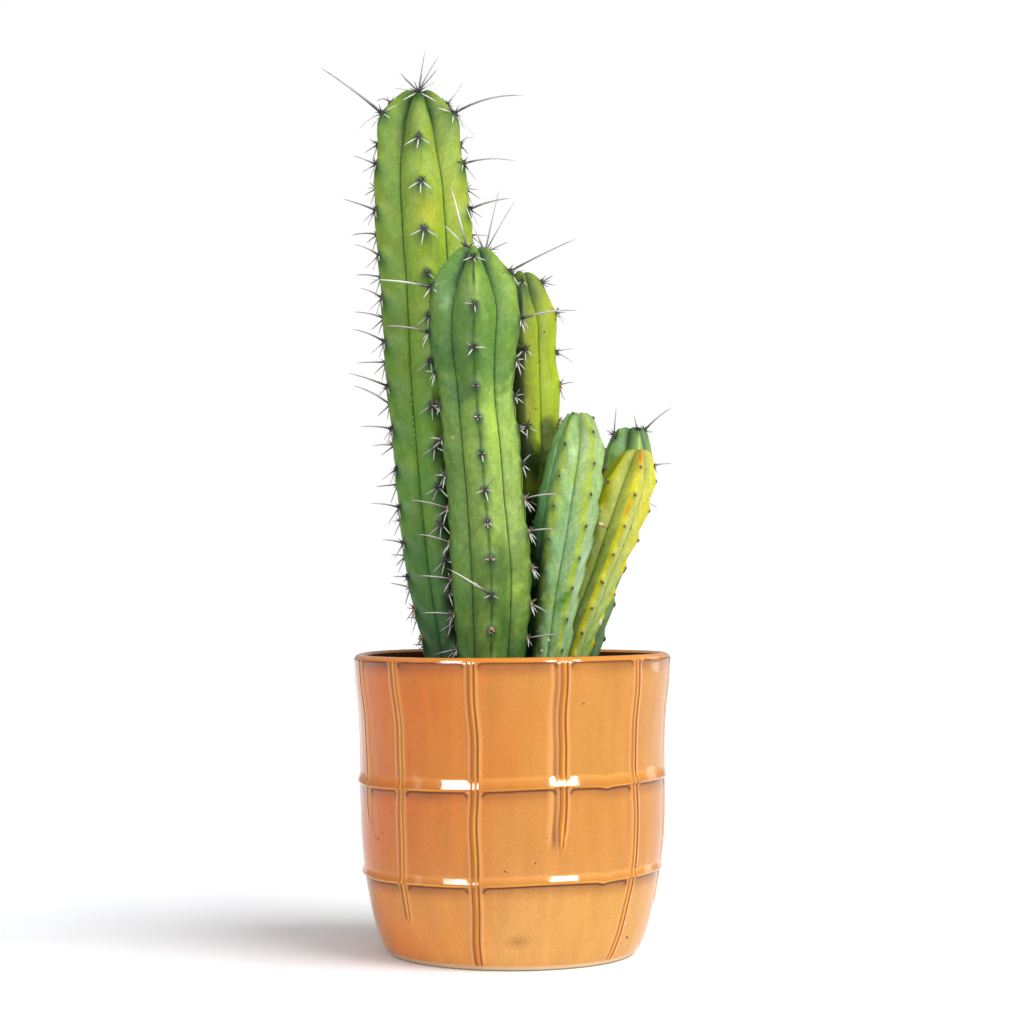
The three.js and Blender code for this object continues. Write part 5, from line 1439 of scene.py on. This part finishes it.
foot_light = add(tree, "MapRange", {0: height, 1: 0.06, 2: 0.015}, **SOFT)
glaze = add(tree, "Mix", {0: foot_light, 6: glaze, 7: (1.14, 1.31, 2.0, 1.0)}, **SHADES)
glaze = add(tree, "Mix", {0: mark["middle"], 6: glaze, 7: (0.99, 0.92, 0.95, 1.0)}, **SHADES)

# Soft vertical runs 5 mm apart, and grain 0.5 mm across.
run = add(tree, "Mapping", {"Vector": place, "Scale": (1.0, 1.0, 0.16)})
runs = add(tree, "TexNoise", {"Vector": run, "Scale": 180.0, "Detail": 3.0})
run_light = add(tree, "MapRange", {0: runs, 1: 0.3, 2: 0.7, 3: 0.93, 4: 1.07})
glaze = add(tree, "Mix", {0: 1.0, 6: glaze, 7: run_light}, **SHADES)
mottle = add(tree, "TexNoise", {"Vector": place, "Scale": 1900.0, "Detail": 3.0, "Roughness": 0.6})
mottle_light = add(tree, "MapRange", {0: mottle, 1: 0.3, 2: 0.7, 3: 0.95, 4: 1.05})
glaze = add(tree, "Mix", {0: 1.0, 6: glaze, 7: mottle_light}, **SHADES)

# Dull tan grain towards the edges of each panel.
grainy = add(tree, "MapRange", {0: mottle, 1: 0.58, 2: 0.38, 4: 0.26}, **SOFT)
grainy = add(tree, "Math", {0: grainy, 1: mark["edge"]}, **TIMES)
glaze = add(tree, "Mix", {0: grainy, 6: glaze, 7: "#A0642C"}, **COLOURS)

# Thick glaze in pools, with painted shade under the lip and hoops, thin glaze over hoops and lines,
# with a painted highlight on the hoops' slopes, then the fine dark and gold lines.
uneven = add(tree, "MapRange", {0: cloud, 1: 0.32, 2: 0.62, 3: 0.35, 4: 1.0})
for label, share, tint in (("pool_and_shade", 0.85, "#7A3E1C"), ("thin", 0.7, "#E6A05A"), ("lip", 0.75, "#D78532"),
                           ("stripe", 0.85, "#B2611B"), ("line", 1.0, "#5A220A"), ("gold", 0.95, "#F0AE1E")):
    amount = add(tree, "Math", {0: mark[label], 1: share}, **TIMES)
    if label in ("pool_and_shade", "gold"):
        amount = add(tree, "Math", {0: amount, 1: uneven}, **TIMES)
    glaze = add(tree, "Mix", {0: amount, 6: glaze, 7: tint}, **COLOURS)
glaze = add(tree, "Mix", {0: mark["bare"], 6: glaze, 7: "#E2CDAE"}, **COLOURS)
tree.links.new(glaze.outputs[2], shader.inputs["Base Color"])

gloss = add(tree, "MapRange", {0: mark["bare"], 3: 0.1, 4: 0.75})
tree.links.new(gloss.outputs[0], shader.inputs["Roughness"])
ripple = add(tree, "TexNoise", {"Vector": place, "Scale": 220.0, "Detail": 2.0})
orange_peel = add(tree, "Bump", {"Height": ripple, "Strength": 0.2, "Distance": 0.0005})
tree.links.new(orange_peel.outputs[0], shader.inputs["Normal"])
print("honey glaze has", len(tree.nodes), "nodes")

# Inside is the same glaze, painted dark brown as painted shade, and so rough and faint in gloss that
# it hardly shines.
inner_glaze, tree, shader = new_material("inner_glaze", {"Roughness": 0.8, "IOR": 1.5, "Specular IOR Level": 0.03})
inner_mottle = add(tree, "TexNoise", {"Scale": 60.0, "Detail": 5.0})
inner_shade = add(tree, "ValToRGB", {"Fac": inner_mottle}, stops=[(0.3, "#341C10"), (0.7, "#5E3822")])
tree.links.new(inner_shade.outputs[0], shader.inputs["Base Color"])

# %% [markdown]
# ### Turning the pot
#
# The pot is hollow, so its rings run up the outside, over the rounded lip and down the inside to the
# floor. A Screw modifier would turn an outline into even, upright columns. Here rows and columns
# crowd together where the relief is, and each column leans with the trailed lines, so that a line's
# edge is never a staircase.

# %% The pot's profile as rings
def inner_radius(height):
    """Radius of the inside, with a rounded corner at the floor."""
    corner = np.clip(POT_FLOOR + INNER_CORNER - height, 0, INNER_CORNER)
    return wall_radius(height) - POT_WALL - (INNER_CORNER - np.sqrt(INNER_CORNER ** 2 - corner ** 2))


# Columns stand close together beside each trailed line, and rows beside each hoop.
LINE_STEPS = np.array([0, 0.3, 0.6, 0.85, 1.05, 1.2, 1.35, 1.55, 1.8, 2.2, 2.6, 3, 3.4, 3.9, 4.8, 6])
HOOP_STEPS = np.array([-5, -4, -3.2, -2.5, -2, -1.6, -1.35, -1.15, -1.02, -0.98, -0.85, -0.65, -0.4, -0.15, 0.1, 0.5,
                       1, 1.8, 2.6, 3.2, 3.7, 4.2, 4.8, 5.6])
# The columns are laid out at this height, and follow the lines above and below it. The honey glaze
# ends this many rings past the top of the lip.
LAYOUT_ROW = 77.0
GLAZED_RINGS = 7
trail_columns = trail_angles(LAYOUT_ROW)
columns = list(np.radians(np.arange(-180, 180, 3.0)))
for line in trail_columns:
    columns += list(line + np.concatenate([-LINE_STEPS[:0:-1], LINE_STEPS]) / 67)
columns = np.sort((np.array(columns) + math.pi) % (2 * math.pi) - math.pi)
columns = columns[np.append(np.diff(columns) > 0.0025, True)]

rows = np.concatenate([np.arange(1, 127, 1.7), *(hoop[0] + HOOP_STEPS for hoop in HOOPS),
                       [126, 127, 127.8, 128.2]])
rows = np.sort(rows)
rows = rows[np.append(np.diff(rows) > 0.09, True)]

# radius, height and share of the relief for every ring, up the outside, over the lip and down inside.
rings = [(40, 0, 0), (52.8, 0, 0), (53.4, 0.3, 0.2)] + [(float(wall_radius(row)), row, 1) for row in rows]
lip_centre = float(wall_radius(POT_HEIGHT)) - POT_WALL / 2
for turn in np.radians(np.linspace(3, 180, 25)):
    rings.append((lip_centre + POT_WALL / 2 * math.cos(turn), POT_HEIGHT - LIP_HEIGHT * (1 - math.sin(turn)),
                  max(0, math.cos(turn))))
for height in np.concatenate([np.arange(125, 104, -2.5), np.arange(100, 20, -10), [16, 13, 11, 9, 7.8]]):
    rings.append((float(inner_radius(height)), height, 0))
rings.append((rings[-1][0] - 3, POT_FLOOR, 0))
ring_radius, ring_row, ring_relief = (np.array(part, float)[:, None] for part in zip(*rings))
print("pot", len(columns), "columns", len(rings), "rings")

# %% Turn the pot
nominal = np.concatenate([trail_columns - 2 * math.pi, trail_columns, trail_columns + 2 * math.pi])
order = np.argsort(nominal)
angle = np.empty((len(rings), len(columns)))
for i, row in enumerate(ring_row[:, 0]):
    actual = trail_angles(row)
    actual = np.concatenate([actual - 2 * math.pi, actual, actual + 2 * math.pi])
    angle[i] = np.interp(columns, nominal[order], actual[order])
row = np.broadcast_to(ring_row, angle.shape)
outside = np.broadcast_to(ring_relief > 0, angle.shape)
radius = ring_radius + relief(angle, row) * ring_relief
radius += out_of_round(angle, row) * ring_relief
height = row + hoop_wave(angle, row) * smooth(1, 12, row)
pot_points = np.stack([radius * np.sin(angle), -radius * np.cos(angle), height], -1).reshape(-1, 3)
faces = ring_faces(len(rings), len(columns))
lip_ring = int(np.argmax(ring_row[:, 0])) + GLAZED_RINGS
is_inner = [min(face[:2]) >= lip_ring * len(columns) and min(face) != len(rings) * len(columns) for face in faces]
pot = mesh_piece("glazed_pot", np.vstack([pot_points, [[0, 0, 0], [0, 0, POT_FLOOR]]]), faces,
                 [honey_glaze, inner_glaze],
                 {label: grid_values(values) for label, values in glaze_marks(angle, row, outside).items()},
                 np.array(is_inner, int))
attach(pot, "root")
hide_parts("pot")
print("pot", triangles(pot), "triangles")

# %% [markdown]
# ### Iron specks
#
# Grains of iron in the clay melt into the glaze as dark dots, here 0.4 to 1.6 mm across. Each is a
# very flat dome of glossy brown glaze on the wall. Those in front sit where the photo shows them.

# %% Iron specks
iron_speck, tree, shader = new_material("iron_speck", {"Roughness": 0.2, "IOR": 1.5})
burn = add(tree, "TexNoise", {"Scale": 2000.0, "Detail": 2.0})
speck_colour = add(tree, "ValToRGB", {"Fac": burn}, stops=[(0.3, "#2A140C"), (0.7, "#5A2E18")])
tree.links.new(speck_colour.outputs[0], shader.inputs["Base Color"])

# Angle, height and half width: a loose group at the left, single ones, and the rest round the back.
speck_draw = np.random.default_rng(5)
specks = [(-59.5 + 3.2 * a, 56.5 + 2.2 * h, speck_draw.uniform(0.3, 0.55))
          for a, h in speck_draw.standard_normal((11, 2))]
specks += [(-49.5, 66, 0.4), (-27.5, 45.5, 0.3), (-2.6, 43, 0.45), (-1.6, 42.6, 0.35), (8.4, 46, 0.4),
           (12.4, 56.5, 0.3), (53.6, 41, 0.5), (26, 112, 0.45), (-36, 121.5, 0.35), (55, 11.5, 0.8)]
specks += [(a, h, speck_draw.uniform(0.2, 0.4)) for a, h in speck_draw.uniform((75, 8), (285, 118), (30, 2))]
cluster = Cluster()
for speck_angle, speck_row, size in specks:
    a = np.array(math.radians(speck_angle))
    r = float(wall_radius(speck_row) + relief(a, np.array(speck_row)) + out_of_round(a, speck_row))
    outward = np.array([math.sin(a), -math.cos(a), 0])
    centre = outward * (r - 0.06) + np.array([0, 0, speck_row + float(hoop_wave(a, np.array(speck_row)))])
    add_pad(cluster, centre, outward, size, size, 0.14, 0, 0, 0.15)
piece = mesh_piece("iron_specks", np.vstack(cluster.points), cluster.faces, [iron_speck])
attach(piece, "root")
print("iron specks", len(specks))

# %% [markdown]
# ## Potting mix
#
# Cactus soil is peat and bark with grit in it. The surface is a lumpy height field, and on it lie
# crumbs of bark and pale pumice, small rough stones in one mesh, since instances are lost on export.

# %% Potting mix material
potting_mix, tree, shader = new_material("potting_mix", {"Roughness": 0.95})
place = add(tree, "TexCoord").outputs["Object"]
crumb = add(tree, "TexNoise", {"Vector": place, "Scale": 420.0, "Detail": 6.0, "Roughness": 0.7})
peat = add(tree, "ValToRGB", {"Fac": crumb}, stops=[(0.3, "#1B120C"), (0.5, "#3A2A20"), (0.65, "#5A4332"),
                                                    (0.8, "#7A6148")])
tree.links.new(peat.outputs[0], shader.inputs["Base Color"])
crumb_bump = add(tree, "Bump", {"Height": crumb, "Strength": 0.9, "Distance": 0.001})
tree.links.new(crumb_bump.outputs[0], shader.inputs["Normal"])
print("potting mix has", len(tree.nodes), "nodes")

# %% Soil surface
SOIL_BOTTOM = 7.4
SOIL_HEAP = 1.5


def heap(distance):
    """How much higher the soil stands towards the middle of the pot."""
    return SOIL_HEAP * smooth(63, 30, distance)


surface_rings = np.linspace(62.6, 0.8, 66)
soil_sides = np.array([12.0, 20, 40, 60, 80, 100, 112])
soil_radius = np.concatenate([[30, 48], inner_radius(soil_sides) - 0.4, surface_rings])
soil_height = np.concatenate([[SOIL_BOTTOM, SOIL_BOTTOM], soil_sides, np.full(len(surface_rings), SOIL_TOP)])
soil_columns = 180
height, angle = np.meshgrid(soil_height, np.arange(soil_columns) * 2 * math.pi / soil_columns, indexing="ij")
radius = np.broadcast_to(soil_radius[:, None], angle.shape)
lumps = np.array([noise.noise(Vector((r * math.sin(a) / 4, r * math.cos(a) / 4, 3.3))) * 0.9
                  + noise.noise(Vector((r * math.sin(a) / 1.3, r * math.cos(a) / 1.3, 9.1))) * 0.5
                  for r, a in zip(radius.ravel(), angle.ravel())]).reshape(angle.shape)
height = np.where(height >= SOIL_TOP, height + heap(radius) + lumps, height)
points = np.stack([radius * np.sin(angle), -radius * np.cos(angle), height], -1).reshape(-1, 3)
soil = mesh_piece("soil_surface", np.vstack([points, [[0, 0, SOIL_BOTTOM], [0, 0, SOIL_TOP + SOIL_HEAP]]]),
                  ring_faces(len(soil_height), soil_columns), [potting_mix])
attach(soil, "root")
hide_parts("soil")
print("soil", triangles(soil), "triangles")

# %% Grit material
grit_stone, tree, shader = new_material("grit_stone", {"Roughness": 0.9})
tone = add(tree, "Attribute", attribute_name="reach").outputs["Fac"]
grit_colour = add(tree, "ValToRGB", {"Fac": tone}, stops=[
    (0.0, "#2A1C13"), (0.45, "#4A3424"), (0.7, "#7B6048"), (0.8, "#CFC6B8"), (1.0, "#E9E4DA")])
pits = add(tree, "TexNoise", {"Scale": 1800.0, "Detail": 4.0})
pit_light = add(tree, "MapRange", {0: pits, 1: 0.3, 2: 0.7, 3: 0.75, 4: 1.15})
grit_colour = add(tree, "Mix", {0: 1.0, 6: grit_colour, 7: pit_light}, **SHADES)
tree.links.new(grit_colour.outputs[2], shader.inputs["Base Color"])
pit_bump = add(tree, "Bump", {"Height": pits, "Strength": 0.7, "Distance": 0.0004})
tree.links.new(pit_bump.outputs[0], shader.inputs["Normal"])
print("grit stone has", len(tree.nodes), "nodes")

# %% Crumbs and grit on the soil
STONES = 900
STONE_SIDES = 7
turn = np.arange(STONE_SIDES) * 2 * math.pi / STONE_SIDES
planted = [along(stem["rows"], SOIL_TOP) for stem in STEMS.values()]
cluster = Cluster()
stones = np.random.default_rng(11)
while len(cluster.points) < STONES:
    distance, angle = 62 * math.sqrt(stones.uniform()), stones.uniform(0, 2 * math.pi)
    spot = np.array([distance * math.sin(angle), -distance * math.cos(angle)])
    if any(math.hypot(x - spot[0], y - spot[1]) < radius + 0.3 for x, y, radius in planted):
        continue
    size = stones.uniform(0.5, 1.6)
    layers = []
    for lean in np.radians([-50, -10, 35]):
        knock = 1 + 0.2 * stones.standard_normal(STONE_SIDES)[:, None]
        layers.append(knock * size * np.stack([np.cos(turn) * math.cos(lean), np.sin(turn) * math.cos(lean),
                                               np.full(STONE_SIDES, 0.7 * math.sin(lean))], -1))
    centre = np.array([*spot, SOIL_TOP + float(heap(distance)) + 0.35 * size])
    shape = np.vstack([*layers, [[0, 0, -0.75 * size]], [[0, 0, 0.7 * size]]]) + centre
    cluster.keep(shape, ring_faces(len(layers), STONE_SIDES), 0, np.full(len(shape), stones.uniform()), 0)
grit = mesh_piece("soil_grit", np.vstack(cluster.points), cluster.faces, [grit_stone],
                  {"reach": np.concatenate(cluster.reach)})
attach(grit, "root")
print("grit", triangles(grit), "triangles")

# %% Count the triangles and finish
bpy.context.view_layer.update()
shown = [piece for piece in scene.objects if piece.type == "MESH" and piece.visible_get()]
print("all triangles", sum(triangles(piece) for piece in shown))
